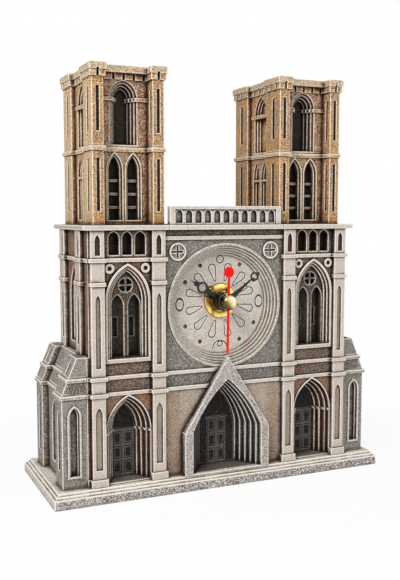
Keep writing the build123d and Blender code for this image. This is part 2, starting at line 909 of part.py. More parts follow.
# Right end buttresses: two battered piers with a lower wall between them
with BuildPart() as buttress_right:
    end_front_y = front_y + end_front
    end_rear_front = front_y + end_rear_y
    near_x = outer_x + face_gap
    for outline_back, plane_y, depth in [
        (0, end_front_y, end_pier_depth),
        (end_wall_setback, end_front_y + end_pier_depth, end_rear_y - end_front - end_pier_depth),
        (0, end_rear_front, body_depth - end_rear_y),
    ]:
        with BuildSketch(facing(plane_y)) as profile:
            with BuildLine():
                Polyline(
                    (near_x, floor_z),
                    (end_x - outline_back, floor_z),
                    (end_x - outline_back, end_batter_z),
                    (end_top_x - outline_back, ledge_z),
                    (near_x, ledge_z),
                    close=True,
                )
            make_face()
        extrude(profile.sketch, amount=-depth)
    batter = (end_x - end_top_x) / (ledge_z - end_batter_z)
    string_near = outer_x + centre_string_gap
    for z in (lower_string_z, upper_string_z):
        face_x = end_x - max(0, z - end_batter_z) * batter + string_overhang
        with BuildSketch(Plane.XY.offset(z - string_height / 2)) as plan:
            for far_x, y0, y1 in [
                (face_x, end_front_y - string_overhang, end_front_y + end_pier_depth + string_overhang),
                (face_x - end_wall_setback, end_front_y, back_y),
                (face_x, end_rear_front - string_overhang, back_y),
            ]:
                with Locations(((string_near + far_x) / 2, (y0 + y1) / 2)):
                    Rectangle(far_x - string_near, y1 - y0)
        extrude(plan.sketch, amount=string_height)
    with BuildSketch(facing(end_front_y)) as niche_hood:
        with Locations((end_x - end_niche_inset, 0)):
            width, foot, spring, apex = end_niche
            add(lancet(width + 2 * hood_width, foot - hood_width, spring, apex + hood_width))
    extrude(niche_hood.sketch, amount=hood_proud)
    niche_xs = [end_x - end_niche_inset]
    carve_orders(
        end_front_y - hood_proud, 1, niche_xs, end_niche, end_niche_orders, end_niche_step, end_niche_depth
    )
    pier_ys = [end_front_y + end_pier_depth / 2, (end_rear_front + back_y) / 2]
    carve_side_orders(end_x, 1, pier_ys, end_slot, 1, end_slot_depth, end_slot_depth)
    carve_side_orders(end_x, 1, pier_ys, end_peak_slot, 1, end_slot_depth, end_peak_slot_depth)
    wall_mid_y = (end_front_y + end_pier_depth + end_rear_front) / 2
    carve_side_orders(
        end_x - end_wall_setback, 1, [wall_mid_y], end_window, 2, end_window_depth, end_window_depth
    )
buttress_right.part.label = "buttress_right"

with BuildPart() as buttress_left:
    mirror(buttress_right.part, about=Plane.YZ)
buttress_left.part.label = "buttress_left"

# Gallery between the towers
with BuildPart() as gallery:
    gallery_half = tower_inner_x - gallery_end_gap
    gallery_y = front_y + gallery_inset
    block(-gallery_half, gallery_half, gallery_y, gallery_y + gallery_thickness, bay_top, gallery_top)
    rail_foot = gallery_top - gallery_rail
    rail_front = gallery_y - gallery_rail_overhang
    rail_back = gallery_y + gallery_thickness
    block(-gallery_half, gallery_half, rail_front, rail_back, rail_foot, gallery_top)
    for side in (-1, 1):
        post_x = side * (gallery_half - gallery_post)
        block(side * gallery_half, post_x, rail_front, rail_back, bay_top, gallery_top)
    with BuildSketch(facing(gallery_y)) as arches:
        with GridLocations(gallery_pitch, 0, gallery_arches, 1):
            add(lancet(*gallery_arch))
    extrude(arches.sketch, amount=-gallery_arch_depth, mode=Mode.SUBTRACT)
gallery.part.label = "gallery"

# Right tower
with BuildPart() as tower_right:
    tower_x = (tower_inner_x + tower_outer_x) / 2
    tower_y = front_y + tower_front + tower_depth / 2
    half_width = (tower_outer_x - tower_inner_x) / 2
    half_depth = tower_depth / 2
    for z, height, grow in [
        (bay_top, tower_shaft_top - bay_top, 0),
        (tower_band_z - tower_band_height / 2, tower_band_height, tower_band_overhang),
        (tower_shaft_top - corbel_height, corbel_height, corbel_proud),
    ]:
        with BuildSketch(Plane.XY.offset(z)) as plan:
            with Locations((tower_x, tower_y)):
                Rectangle(
                    2 * (half_width - tower_side_setback + grow),
                    2 * (half_depth - tower_front_setback + grow),
                )
                with GridLocations(2 * half_width - pier_width, 2 * half_depth - pier_depth, 2, 2):
                    Rectangle(pier_width + 2 * grow, pier_depth + 2 * grow)
        extrude(plan.sketch, amount=height)
    # Cornice with a rounded lip and caps over the piers
    with BuildSketch(Plane.XY.offset(tower_shaft_top)) as lip:
        with Locations((tower_x, tower_y)):
            Rectangle(2 * (half_width - lip_side_setback), 2 * (half_depth - lip_front_setback))
            with GridLocations(2 * half_width - pier_width, 2 * half_depth - pier_depth, 2, 2):
                Rectangle(pier_width + 2 * cap_overhang, pier_depth + 2 * cap_overhang)
    extrude(lip.sketch, amount=tower_top - tower_shaft_top)
    fillet(edges().group_by(Axis.Z)[-1], radius=top_round)
    front_face = tower_y - half_depth
    rear_face = tower_y + half_depth
    slot_z = tower_shaft_top - corbel_slot_drop + corbel_slot_height / 2
    slot_reach = cap_overhang + corbel_slot_in
    wall_slot_reach = corbel_proud + corbel_slot_in
    side_slot_reach = slot_reach + tower_side_setback - corbel_proud
    slot_pitch = 2 * half_width / front_slots
    for face_y, side in [(front_face, 1), (rear_face, -1)]:
        for near, pitch, count, reach in [
            (face_y - side * cap_overhang, 2 * half_width - pier_width, 2, slot_reach),
            (
                face_y + side * (tower_front_setback - corbel_proud),
                slot_pitch,
                front_slots - 2,
                wall_slot_reach,
            ),
        ]:
            with BuildSketch(facing(near)) as slots:
                with Locations((tower_x, slot_z)):
                    with GridLocations(pitch, 0, count, 1):
                        Rectangle(corbel_slot_width, corbel_slot_height)
            extrude(slots.sketch, amount=-side * reach, mode=Mode.SUBTRACT)
    for side in (-1, 1):
        with BuildSketch(Plane.YZ.offset(tower_x + side * (half_width + cap_overhang))) as slots:
            with Locations((tower_y, slot_z)):
                with GridLocations(2 * half_depth / side_slots, 0, side_slots, 1):
                    Rectangle(corbel_slot_width, corbel_slot_height)
        extrude(slots.sketch, amount=-side * side_slot_reach, mode=Mode.SUBTRACT)
    # Louvred lights below and one great arch above, in front and behind
    width, foot, spring, apex = lancet_light
    light_xs = [tower_x + side * (width + lancet_pier) / 2 for side in (-1, 1)]
    inner_light = [
        width - 2 * (lancet_orders - 1) * lancet_step,
        foot,
        spring,
        apex - (lancet_orders - 1) * lancet_step,
    ]
    for face_y, side in [
        (front_face + tower_front_setback, 1),
        (rear_face - tower_front_setback, -1),
    ]:
        raise_surround(face_y, side, light_xs, lancet_light)
        near_y = face_y - side * surround_proud
        carve_orders(near_y, side, light_xs, lancet_light, lancet_orders, lancet_step, lancet_order_depth)
        carve_orders(near_y, side, light_xs, inner_light, 1, lancet_step, lancet_back_depth)
        for x in light_xs:
            for z in louvre_zs:
                near = face_y + side * louvre_set
                far = near + side * louvre_depth
                reach = inner_light[0] / 2
                block(x - reach, x + reach, min(near, far), max(near, far), z, z + louvre_height)
        carve_orders(near_y, side, [tower_x], great_arch, great_orders, great_step, great_order_depth)
        width, foot, spring, apex = great_arch
        imposts(
            face_y, side, tower_x, width, spring, great_orders, great_step, great_order_depth, tower_impost
        )
        impost_y = face_y - side * tower_impost[2]
        for hand in (-1, 1):
            block(
                tower_x + hand * width / 2,
                tower_x + hand * (half_width - pier_width),
                min(impost_y, face_y),
                max(impost_y, face_y),
                spring - tower_impost[1],
                spring,
            )
    # Side lights and side arches
    light_ys = [tower_y + side * (side_light[0] + side_light_gap) / 2 for side in (-1, 1)]
    for side in (-1, 1):
        face_x = tower_x + side * (half_width - tower_side_setback)
        carve_side_orders(face_x, side, light_ys, side_light, side_orders - 1, side_step, side_order_depth)
        carve_side_orders(face_x, side, [tower_y], side_arch, side_orders, side_step, side_order_depth)
        transom_far = face_x - side * side_order_depth * (side_orders - 1)
        transom_reach = side_light[0] + side_light_gap / 2
        block(
            min(face_x, transom_far),
            max(face_x, transom_far),
            tower_y - transom_reach,
            tower_y + transom_reach,
            transom_z,
            transom_z + transom_height,
        )
        arch_far = face_x - side * side_order_depth * side_orders
        arch_near = face_x + side * side_impost_proud
        block(
            min(arch_near, arch_far),
            max(arch_near, arch_far),
            tower_y - side_impost_reach,
            tower_y + side_impost_reach,
            side_arch[2] - tower_impost[1],
            side_arch[2],
        )
    # Slits in every face of the piers
    for foot, head in slit_levels:
        slit_z = (foot + head) / 2
        for face_y, side in [(front_face, 1), (rear_face, -1)]:
            with BuildSketch(facing(face_y)) as slits:
                with Locations((tower_x, slit_z)):
                    with GridLocations(2 * half_width - pier_width, 0, 2, 1):
                        Rectangle(slit_width, head - foot)
            extrude(slits.sketch, amount=-side * slit_depth, mode=Mode.SUBTRACT)
        for side in (-1, 1):
            with BuildSketch(Plane.YZ.offset(tower_x + side * half_width)) as slits:
                with Locations((tower_y, slit_z)):
                    with GridLocations(2 * half_depth - pier_depth, 0, 2, 1):
                        Rectangle(side_slit_width, head - foot)
            extrude(slits.sketch, amount=-side * slit_depth, mode=Mode.SUBTRACT)
            return_x = tower_x + side * (half_width - pier_width)
            with BuildSketch(Plane.YZ.offset(return_x)) as slits:
                with Locations((tower_y, slit_z)):
                    with GridLocations(2 * (half_depth - return_slit_inset), 0, 2, 1):
                        Rectangle(slit_width, head - foot)
            extrude(slits.sketch, amount=side * slit_depth, mode=Mode.SUBTRACT)
tower_right.part.label = "tower_right"

with BuildPart() as tower_left:
    mirror(tower_right.part, about=Plane.YZ)
tower_left.part.label = "tower_left"

# Depths of the movement, counted back from the front of its case
case_front = dial_back + gasket_thickness
case_back = case_front + movement_depth
room_half = movement_half - case_wall
bay_half = (cell_length + cell_nub_length) / 2 + contact_thickness + cell_room
cell_z = spindle_z - cell_drop
bay_reach = cell_radius + cell_room
room_foot = cell_z + bay_reach + cell_bay_wall
cover_depth = movement_depth - case_wall
pinion_thickness = wheel_thickness + 2 * pinion_extra
post_outer = 2 * arbor_radius
pivot_bore = arbor_radius + sleeve_gap
hour_bore = cannon_radius + sleeve_gap
bush_bore = hour_tube_radius + sleeve_gap
front_post_end = centre_wheel_y - 2 * pinion_extra
magnet_y = intermediate_wheel_y + pinion_thickness
stator_y = magnet_y + stator_rise
rotor_post_end = intermediate_wheel_y - 3 * pinion_extra
minute_post_end = minute_wheel_y + pinion_thickness

# Depths of the stack in front of the dial
dial_face_depth = dial_face_y - case_front
thread_front = dial_face_depth - thread_proud
hour_hub_back = thread_front - hand_gap
hour_hub_front = hour_hub_back - hub_height
collar_back = hour_hub_front - hand_gap
minute_hub_back = collar_back - collar_height
minute_hub_front = minute_hub_back - hub_height
second_hub_back = minute_hub_front - hand_gap
second_hub_front = second_hub_back - second_hub_height

# Places of the wheels beside the centre shaft, from the meshing sizes
train_distance = sum(third_mesh_teeth) * wheel_module / 2
centre_module = 2 * train_distance / sum(centre_mesh_teeth)
rotor_distance = sum(rotor_mesh_teeth) * wheel_module / 2
motion_distance = sum(cannon_mesh_teeth) * motion_module / 2
hour_module = 2 * motion_distance / sum(hour_mesh_teeth)
centre_spot = (0, spindle_z)
third_spot = (0, spindle_z + train_distance)
intermediate_spot = (-train_distance, spindle_z)
rotor_spot = (
    intermediate_spot[0] + rotor_distance * cos(radians(rotor_angle)),
    spindle_z + rotor_distance * sin(radians(rotor_angle)),
)
minute_spot = (motion_distance, spindle_z)
setting_spot = (
    minute_spot[0] + motion_distance * cos(radians(setting_angle)),
    spindle_z + motion_distance * sin(radians(setting_angle)),
)
rear_pivots = [
    (centre_spot, magnet_y + pinion_extra),
    (third_spot, third_wheel_y + wheel_thickness + 2 * pinion_extra),
    (intermediate_spot, magnet_y),
    (rotor_spot, magnet_y + magnet_length + pinion_extra),
]
coil_z = spindle_z + coil_drop
stator_post_spots = [
    (-stator_left + stator_limb / 2, spindle_z + (stator_block_top + coil_drop) / 2),
    (-stator_right - stator_limb / 2, coil_z - coil_core),
]
board_z = spindle_z + board_rise
board_post_spots = [
    (board_x - board_width / 2 + board_post_inset, board_z + board_height / 2 - board_post_inset),
    (board_x + board_width / 2 - board_post_inset, board_z - board_height / 2 + board_post_inset),
]


# A plane that faces forward, this far behind the front of the movement case
def layer(depth):
    return facing(case_front + depth)


# Phase in degrees that puts a wheel in mesh: the line from the first wheel to it lies at the angle
def meshing_phase(angle, teeth, phase, other_teeth):
    return angle + 180 - (phase - angle) * teeth / other_teeth + 180 / other_teeth


# A flat-sided toothed layer about a spot
def toothed_layer(spot, teeth, module, phase, near, thickness):
    radius = teeth * module / 2
    low = radius - dedendum_share * module
    high = radius + addendum_share * module
    points = []
    for tooth in range(teeth):
        for reach, share in [(low, -root_share), (high, -tip_share), (high, tip_share), (low, root_share)]:
            angle = radians(phase + (tooth + share / 2) * 360 / teeth)
            points.append((spot[0] + reach * cos(angle), spot[1] + reach * sin(angle)))
    with BuildSketch(layer(near)) as face:
        with BuildLine():
            Polyline(*points, close=True)
        make_face()
    extrude(face.sketch, amount=-thickness)


# A round bar or hole about a spot, between two depths
def spindle(spot, radius, near, far, mode=Mode.ADD):
    with BuildSketch(layer(near)) as face:
        with Locations(spot):
            Circle(radius)
    extrude(face.sketch, amount=near - far, mode=mode)


# A flat outline given in shares of a length
def scaled_outline(shares, length):
    with BuildSketch(mode=Mode.PRIVATE) as shape:
        with BuildLine():
            Polyline(*[(x * length, y * length) for x, y in shares], close=True)
        make_face()
    return shape.sketch


# Case with a room for the wheels above and an open bay for the cell below
with BuildPart() as movement_case:
    with BuildSketch(layer(0)) as shell:
        with Locations(centre_spot):
            RectangleRounded(2 * movement_half, 2 * movement_half, movement_corner)
    extrude(shell.sketch, amount=-movement_depth)
    room_front = case_front + case_wall
    room_back = case_back + overrun
    block(-room_half, room_half, room_front, room_back, room_foot, spindle_z + room_half, Mode.SUBTRACT)
    block(-bay_half, bay_half, room_front, room_back, cell_z - bay_reach, cell_z + bay_reach, Mode.SUBTRACT)
    spindle(centre_spot, bush_radius, thread_front, case_wall)
    spindle(centre_spot, bush_bore, thread_front - overrun, case_wall + overrun, Mode.SUBTRACT)
    for spot in (third_spot, intermediate_spot):
        spindle(spot, post_outer, case_wall, front_post_end)
        spindle(spot, pivot_bore, front_post_end - pivot_length, front_post_end, Mode.SUBTRACT)
    spindle(rotor_spot, post_outer, case_wall, rotor_post_end)
    spindle(rotor_spot, pivot_bore, rotor_post_end - pivot_length, rotor_post_end, Mode.SUBTRACT)
    for spot in (minute_spot, setting_spot):
        spindle(spot, post_radius, case_wall, minute_post_end)
    for spot in stator_post_spots:
        spindle(spot, post_outer, case_wall, stator_y - seat_gap)
    for spot in board_post_spots:
        spindle(spot, post_outer, case_wall, board_y - seat_gap)
movement_case.part.label = "movement_case"

# Cover over the wheel room, with a post for each rear pivot
with BuildPart() as movement_cover:
    cover_half = room_half - seat_gap
    block(
        -cover_half,
        cover_half,
        case_back - case_wall,
        case_back,
        room_foot + seat_gap,
        spindle_z + cover_half,
    )
    for spot, start in rear_pivots:
        spindle(spot, post_outer, start, cover_depth)
        spindle(spot, pivot_bore, start, start + pivot_length, Mode.SUBTRACT)
    spindle(setting_spot, knob_stem_radius + sleeve_gap, cover_depth, movement_depth + overrun, Mode.SUBTRACT)
movement_cover.part.label = "movement_cover"

# Gasket, dress washer and nut on the threaded bush
with BuildPart() as gasket:
    spindle(centre_spot, gasket_radius, seat_gap - gasket_thickness, -seat_gap)
    spindle(centre_spot, bush_radius + seat_gap, -gasket_thickness - overrun, overrun, Mode.SUBTRACT)
gasket.part.label = "gasket"

with BuildPart() as dress_washer:
    washer_back = dial_face_depth - seat_gap
    washer_front = washer_back - washer_thickness
    spindle(centre_spot, washer_radius, washer_front, washer_back)
    chamfer(edges().filter_by(GeomType.CIRCLE).group_by(Axis.Y)[0], length=washer_thickness / 3)
    spindle(centre_spot, bush_radius + seat_gap, washer_front - overrun, washer_back + overrun, Mode.SUBTRACT)
dress_washer.part.label = "dress_washer"

with BuildPart() as bush_nut:
    nut_back = washer_front - seat_gap
    with BuildSketch(layer(nut_back)) as hexagon:
        with Locations(centre_spot):
            RegularPolygon(nut_radius, 6)
            Circle(bush_radius + seat_gap, mode=Mode.SUBTRACT)
    extrude(hexagon.sketch, amount=nut_thickness)
bush_nut.part.label = "bush_nut"

# Cell and its two contact strips
with BuildPart() as cell:
    cell_y = case_front + case_wall + bay_reach
    cell_start = -(cell_length + cell_nub_length) / 2
    with BuildSketch(Plane.YZ.offset(cell_start)) as can:
        with Locations((cell_y, cell_z)):
            Circle(cell_radius)
    extrude(can.sketch, amount=cell_length)
    fillet(edges().filter_by(GeomType.CIRCLE), radius=cell_nub_length / 2)
    with BuildSketch(Plane.YZ.offset(cell_start + cell_length)) as nub:
        with Locations((cell_y, cell_z)):
            Circle(cell_nub_radius)
    extrude(nub.sketch, amount=cell_nub_length)
cell.part.label = "cell"

contact_near = case_front + case_wall + seat_gap
contact_far = case_back - case_wall
with BuildPart() as contact_right:
    block(
        bay_half - seat_gap - contact_thickness,
        bay_half - seat_gap,
        contact_near,
        contact_far,
        cell_z - contact_half,
        cell_z + contact_half,
    )
contact_right.part.label = "contact_right"

with BuildPart() as contact_left:
    mirror(contact_right.part, about=Plane.YZ)
contact_left.part.label = "contact_left"

# Stator: a flat loop with a hole for the rotor, closed by the core bar of the coil
with BuildPart() as stator:
    with BuildSketch(layer(stator_y)) as loop:
        loop_width = stator_left - stator_right
        loop_top = coil_z + coil_core
        loop_middle = -(stator_left + stator_right) / 2
        with Locations((loop_middle, (spindle_z + stator_foot + loop_top) / 2)):
            Rectangle(loop_width, loop_top - spindle_z - stator_foot)
        window_top = coil_z - coil_core
        window_low = spindle_z + stator_block_top
        with Locations((loop_middle, (window_low + window_top) / 2)):
            Rectangle(loop_width - 2 * stator_limb, window_top - window_low, mode=Mode.SUBTRACT)
        with Locations(rotor_spot):
            Circle(stator_bore, mode=Mode.SUBTRACT)
    extrude(loop.sketch, amount=-stator_thickness)
stator.part.label = "stator"

# Coil: a flanged bobbin round the core bar, and the winding between its flanges
coil_y = case_front + stator_y + stator_thickness / 2
coil_span = loop_width - 2 * stator_limb - 2 * bobbin_end_gap
coil_start = loop_middle - coil_span / 2
core_half_y = stator_thickness / 2 + bobbin_fit
core_half_z = coil_core + bobbin_fit


# A rectangular sleeve round the core bar
def sleeve_on_core(start, span, inner, outer):
    with BuildSketch(Plane.YZ.offset(start)) as ring:
        with Locations((coil_y, coil_z)):
            Rectangle(2 * (core_half_y + outer), 2 * (core_half_z + outer))
            Rectangle(2 * (core_half_y + inner), 2 * (core_half_z + inner), mode=Mode.SUBTRACT)
    extrude(ring.sketch, amount=span)


with BuildPart() as coil_bobbin:
    flange_reach = bobbin_wall + winding_thickness + flange_lip
    sleeve_on_core(coil_start, coil_span, 0, bobbin_wall)
    sleeve_on_core(coil_start, bobbin_flange, 0, flange_reach)
    sleeve_on_core(coil_start + coil_span - bobbin_flange, bobbin_flange, 0, flange_reach)
coil_bobbin.part.label = "coil_bobbin"

with BuildPart() as coil_winding:
    winding_start = coil_start + bobbin_flange + seat_gap
    winding_span = coil_span - 2 * bobbin_flange - 2 * seat_gap
    sleeve_on_core(winding_start, winding_span, bobbin_wall + seat_gap, bobbin_wall + winding_thickness)
coil_winding.part.label = "coil_winding"

# Circuit board with its chip and its crystal
with BuildPart() as circuit_board:
    board_front = case_front + board_y
    board_left = board_x - board_width / 2
    board_low = board_z - board_height / 2
    block(
        board_left,
        board_left + board_width,
        board_front,
        board_front + board_thickness,
        board_low,
        board_low + board_height,
    )
circuit_board.part.label = "circuit_board"

with BuildPart() as chip:
    chip_near = board_y + board_thickness + seat_gap
    spindle((board_x, board_z), chip_radius, chip_near, chip_near + chip_height)
    fillet(edges().group_by(Axis.Y)[-1], radius=chip_height / 2)
chip.part.label = "chip"

with BuildPart() as quartz_crystal:
    crystal_y = case_front + chip_near + crystal_radius
    with BuildSketch(Plane.YZ.offset(board_x - crystal_length / 2)) as tube:
        with Locations((crystal_y, board_z - crystal_drop)):
            Circle(crystal_radius)
    extrude(tube.sketch, amount=crystal_length)
quartz_crystal.part.label = "quartz_crystal"

# Rotor with its magnet and pinion
rotor_phase = rotor_angle + 180
with BuildPart() as rotor:
    rotor_near = rotor_post_end - pivot_length + pinion_extra
    rotor_far = rear_pivots[3][1] + pivot_length - pinion_extra
    spindle(rotor_spot, arbor_radius, rotor_near, rotor_far)
    spindle(rotor_spot, magnet_radius, magnet_y, magnet_y + magnet_length)
    toothed_layer(
        rotor_spot,
        rotor_mesh_teeth[0],
        wheel_module,
        rotor_phase,
        intermediate_wheel_y - pinion_extra,
        pinion_thickness,
    )
rotor.part.label = "rotor"

# Intermediate wheel
with BuildPart() as intermediate_wheel:
    intermediate_phase = meshing_phase(rotor_angle + 180, rotor_mesh_teeth[0], rotor_phase, rotor_mesh_teeth[1])
    spindle(
        intermediate_spot,
        arbor_radius,
        front_post_end - pivot_length + pinion_extra,
        magnet_y + pivot_length - pinion_extra,
    )
    toothed_layer(
        intermediate_spot,
        rotor_mesh_teeth[1],
        wheel_module,
        intermediate_phase,
        intermediate_wheel_y,
        wheel_thickness,
    )
    toothed_layer(
        intermediate_spot,
        seconds_mesh_teeth[0],
        wheel_module,
        0,
        seconds_wheel_y - pinion_extra,
        pinion_thickness,
    )
intermediate_wheel.part.label = "intermediate_wheel"

# Seconds wheel on the long arbor that carries the second hand
with BuildPart() as seconds_wheel:
    seconds_phase = meshing_phase(0, seconds_mesh_teeth[0], 0, seconds_mesh_teeth[1])
    spindle(centre_spot, arbor_radius, second_hub_front, rear_pivots[0][1] + pivot_length - pinion_extra)
    toothed_layer(
        centre_spot,
        seconds_mesh_teeth[1],
        wheel_module,
        seconds_phase,
        seconds_wheel_y,
        wheel_thickness,
    )
    toothed_layer(
        centre_spot,
        third_mesh_teeth[0],
        wheel_module,
        90,
        third_wheel_y - pinion_extra,
        pinion_thickness,
    )
seconds_wheel.part.label = "seconds_wheel"

# Third wheel
with BuildPart() as third_wheel:
    third_phase = meshing_phase(90, third_mesh_teeth[0], 90, third_mesh_teeth[1])
    spindle(
        third_spot,
        arbor_radius,
        front_post_end - pivot_length + pinion_extra,
        rear_pivots[1][1] + pivot_length - pinion_extra,
    )
    toothed_layer(third_spot, third_mesh_teeth[1], wheel_module, third_phase, third_wheel_y, wheel_thickness)
    toothed_layer(
        third_spot,
        centre_mesh_teeth[0],
        centre_module,
        270,
        centre_wheel_y - pinion_extra,
        pinion_thickness,
    )
third_wheel.part.label = "third_wheel"

# Centre wheel with the minute tube and the cannon pinion
with BuildPart() as centre_wheel:
    centre_phase = meshing_phase(270, centre_mesh_teeth[0], 270, centre_mesh_teeth[1])
    spindle(centre_spot, cannon_radius, minute_hub_front, centre_wheel_y)
    toothed_layer(
        centre_spot,
        centre_mesh_teeth[1],
        centre_module,
        centre_phase,
        centre_wheel_y,
        wheel_thickness,
    )
    toothed_layer(
        centre_spot,
        cannon_mesh_teeth[0],
        motion_module,
        0,
        minute_wheel_y - pinion_extra,
        pinion_thickness,
    )
    spindle(centre_spot, pivot_bore, minute_hub_front - overrun, centre_wheel_y + overrun, Mode.SUBTRACT)
centre_wheel.part.label = "centre_wheel"

# Minute wheel of the motion work, on its post
with BuildPart() as minute_wheel:
    minute_phase = meshing_phase(0, cannon_mesh_teeth[0], 0, cannon_mesh_teeth[1])
    minute_hub = hour_mesh_teeth[0] * hour_module / 2 - dedendum_share * hour_module
    spindle(minute_spot, minute_hub, hour_wheel_y, minute_wheel_y)
    toothed_layer(
        minute_spot,
        cannon_mesh_teeth[1],
        motion_module,
        minute_phase,
        minute_wheel_y,
        wheel_thickness,
    )
    toothed_layer(
        minute_spot,
        hour_mesh_teeth[0],
        hour_module,
        180,
        hour_wheel_y - pinion_extra,
        pinion_thickness,
    )
    spindle(minute_spot, post_radius + sleeve_gap, 0, minute_post_end + overrun, Mode.SUBTRACT)
minute_wheel.part.label = "minute_wheel"

# Hour wheel with its tube
with BuildPart() as hour_wheel:
    hour_phase = meshing_phase(180, hour_mesh_teeth[0], 180, hour_mesh_teeth[1])
    spindle(centre_spot, hour_tube_radius, hour_hub_front, hour_wheel_y)
    toothed_layer(centre_spot, hour_mesh_teeth[1], hour_module, hour_phase, hour_wheel_y, wheel_thickness)
    hour_far = hour_wheel_y + wheel_thickness + overrun
    spindle(centre_spot, hour_bore, hour_hub_front - overrun, hour_far, Mode.SUBTRACT)
hour_wheel.part.label = "hour_wheel"

# Setting knob with its stem and pinion
with BuildPart() as setting_knob:
    setting_phase = meshing_phase(setting_angle, setting_mesh_teeth[1], minute_phase, setting_mesh_teeth[0])
    knob_near = movement_depth + knob_gap
    stem_near = minute_wheel_y - pinion_extra
    toothed_layer(
        setting_spot,
        setting_mesh_teeth[0],
        motion_module,
        setting_phase,
        stem_near,
        pinion_thickness,
    )
    spindle(setting_spot, knob_stem_radius, stem_near + pinion_thickness, knob_near)
    spindle(setting_spot, knob_radius, knob_near, knob_near + knob_length)
    with BuildSketch(layer(knob_near)) as flutes:
        with Locations(setting_spot):
            with PolarLocations(knob_radius, knob_ribs):
                Circle(knob_rib_depth)
    extrude(flutes.sketch, amount=-knob_length, mode=Mode.SUBTRACT)
    spindle(
        setting_spot,
        post_radius + sleeve_gap,
        stem_near - overrun,
        minute_post_end + pinion_extra,
        Mode.SUBTRACT,
    )
setting_knob.part.label = "setting_knob"

# Hour hand: a blade, two curls, a ring and a point
with BuildPart() as hour_hand:
    spindle(centre_spot, hour_hub_radius, hour_hub_front, hour_hub_back)
    with BuildSketch() as hour_shape:
        length = hour_hand_length
        add(scaled_outline(hour_blade_shares, length))
        add(scaled_outline(hour_point_shares, length))
        ring_at, ring_outer, ring_hole = [share * length for share in hour_ring_shares]
        curl_x, curl_at, curl_outer, curl_hole = [share * length for share in hour_curl_shares]
        with Locations((-curl_x, curl_at), (curl_x, curl_at)):
            Circle(curl_outer)
            Circle(curl_hole, mode=Mode.SUBTRACT)
        with Locations((0, ring_at)):
            Circle(ring_outer)
            Circle(ring_hole, mode=Mode.SUBTRACT)
    with BuildSketch(layer(hour_hub_back - hand_lift)) as hour_blade:
        with Locations(centre_spot):
            add(hour_shape.sketch, rotation=hour_hand_angle)
    extrude(hour_blade.sketch, amount=hand_thickness)
    spindle(centre_spot, hour_tube_radius + seat_gap, hour_hub_front - overrun, 0, Mode.SUBTRACT)
hour_hand.part.label = "hour_hand"

# Bright collar and minute hand
with BuildPart() as hand_collar:
    spindle(centre_spot, collar_radius, minute_hub_back + seat_gap, collar_back)
    spindle(centre_spot, cannon_radius + seat_gap, minute_hub_back - overrun, 0, Mode.SUBTRACT)
hand_collar.part.label = "hand_collar"

with BuildPart() as minute_hand:
    spindle(centre_spot, minute_hub_radius, minute_hub_front, minute_hub_back)
    with BuildSketch() as minute_shape:
        length = minute_hand_length
        add(scaled_outline(minute_blade_shares, length))
        add(scaled_outline(minute_point_shares, length))
        ring_at, ring_outer, ring_hole = [share * length for share in minute_ring_shares]
        bar_at, bar_width, bar_height = [share * length for share in minute_bar_shares]
        with Locations((0, bar_at)):
            Rectangle(bar_width, bar_height)
        with Locations((0, ring_at)):
            Circle(ring_outer)
            Circle(ring_hole, mode=Mode.SUBTRACT)
    with BuildSketch(layer(minute_hub_back - hand_lift)) as minute_blade:
        with Locations(centre_spot):
            add(minute_shape.sketch, rotation=minute_hand_angle)
    extrude(minute_blade.sketch, amount=hand_thickness)
    spindle(centre_spot, cannon_radius + seat_gap, minute_hub_front - overrun, 0, Mode.SUBTRACT)
minute_hand.part.label = "minute_hand"

# Second hand with its disc counterweight, and the domed cap over the middle
with BuildPart() as second_hand:
    spindle(centre_spot, second_hub_radius, second_hub_front, second_hub_back)
    with BuildSketch() as second_shape:
        with Locations((0, (second_hand_length - counter_reach) / 2)):
            Rectangle(second_hand_width, second_hand_length + counter_reach)
        with Locations((0, -counter_reach)):
            Circle(counter_radius)
    with BuildSketch(layer(second_hub_back - hand_lift)) as second_blade:
        with Locations(centre_spot):
            add(second_shape.sketch, rotation=second_hand_angle)
    extrude(second_blade.sketch, amount=hand_thickness)
    spindle(centre_spot, arbor_radius + seat_gap, second_hub_front - overrun, 0, Mode.SUBTRACT)
second_hand.part.label = "second_hand"

with BuildPart() as hand_cap:
    cap_back = second_hub_front - seat_gap
    spindle(centre_spot, cap_radius, cap_back - cap_height, cap_back)
    fillet(edges().group_by(Axis.Y)[0], radius=cap_round)
hand_cap.part.label = "hand_cap"

for piece in (
    base_plinth,
    bay_right,
    bay_left,
    side_door_right,
    side_door_left,
    centre_wall,
    dial,
    porch,
    centre_doors,
    buttress_right,
    buttress_left,
    gallery,
    tower_right,
    tower_left,
    movement_case,
    movement_cover,
    gasket,
    dress_washer,
    bush_nut,
    cell,
    contact_right,
    contact_left,
    stator,
    coil_bobbin,
    coil_winding,
    circuit_board,
    chip,
    quartz_crystal,
    rotor,
    intermediate_wheel,
    seconds_wheel,
    third_wheel,
    centre_wheel,
    minute_wheel,
    hour_wheel,
    setting_knob,
    hour_hand,
    hand_collar,
    minute_hand,
    second_hand,
    hand_cap,
):
    export_step(piece.part, f"parts/{piece.part.label}.step")
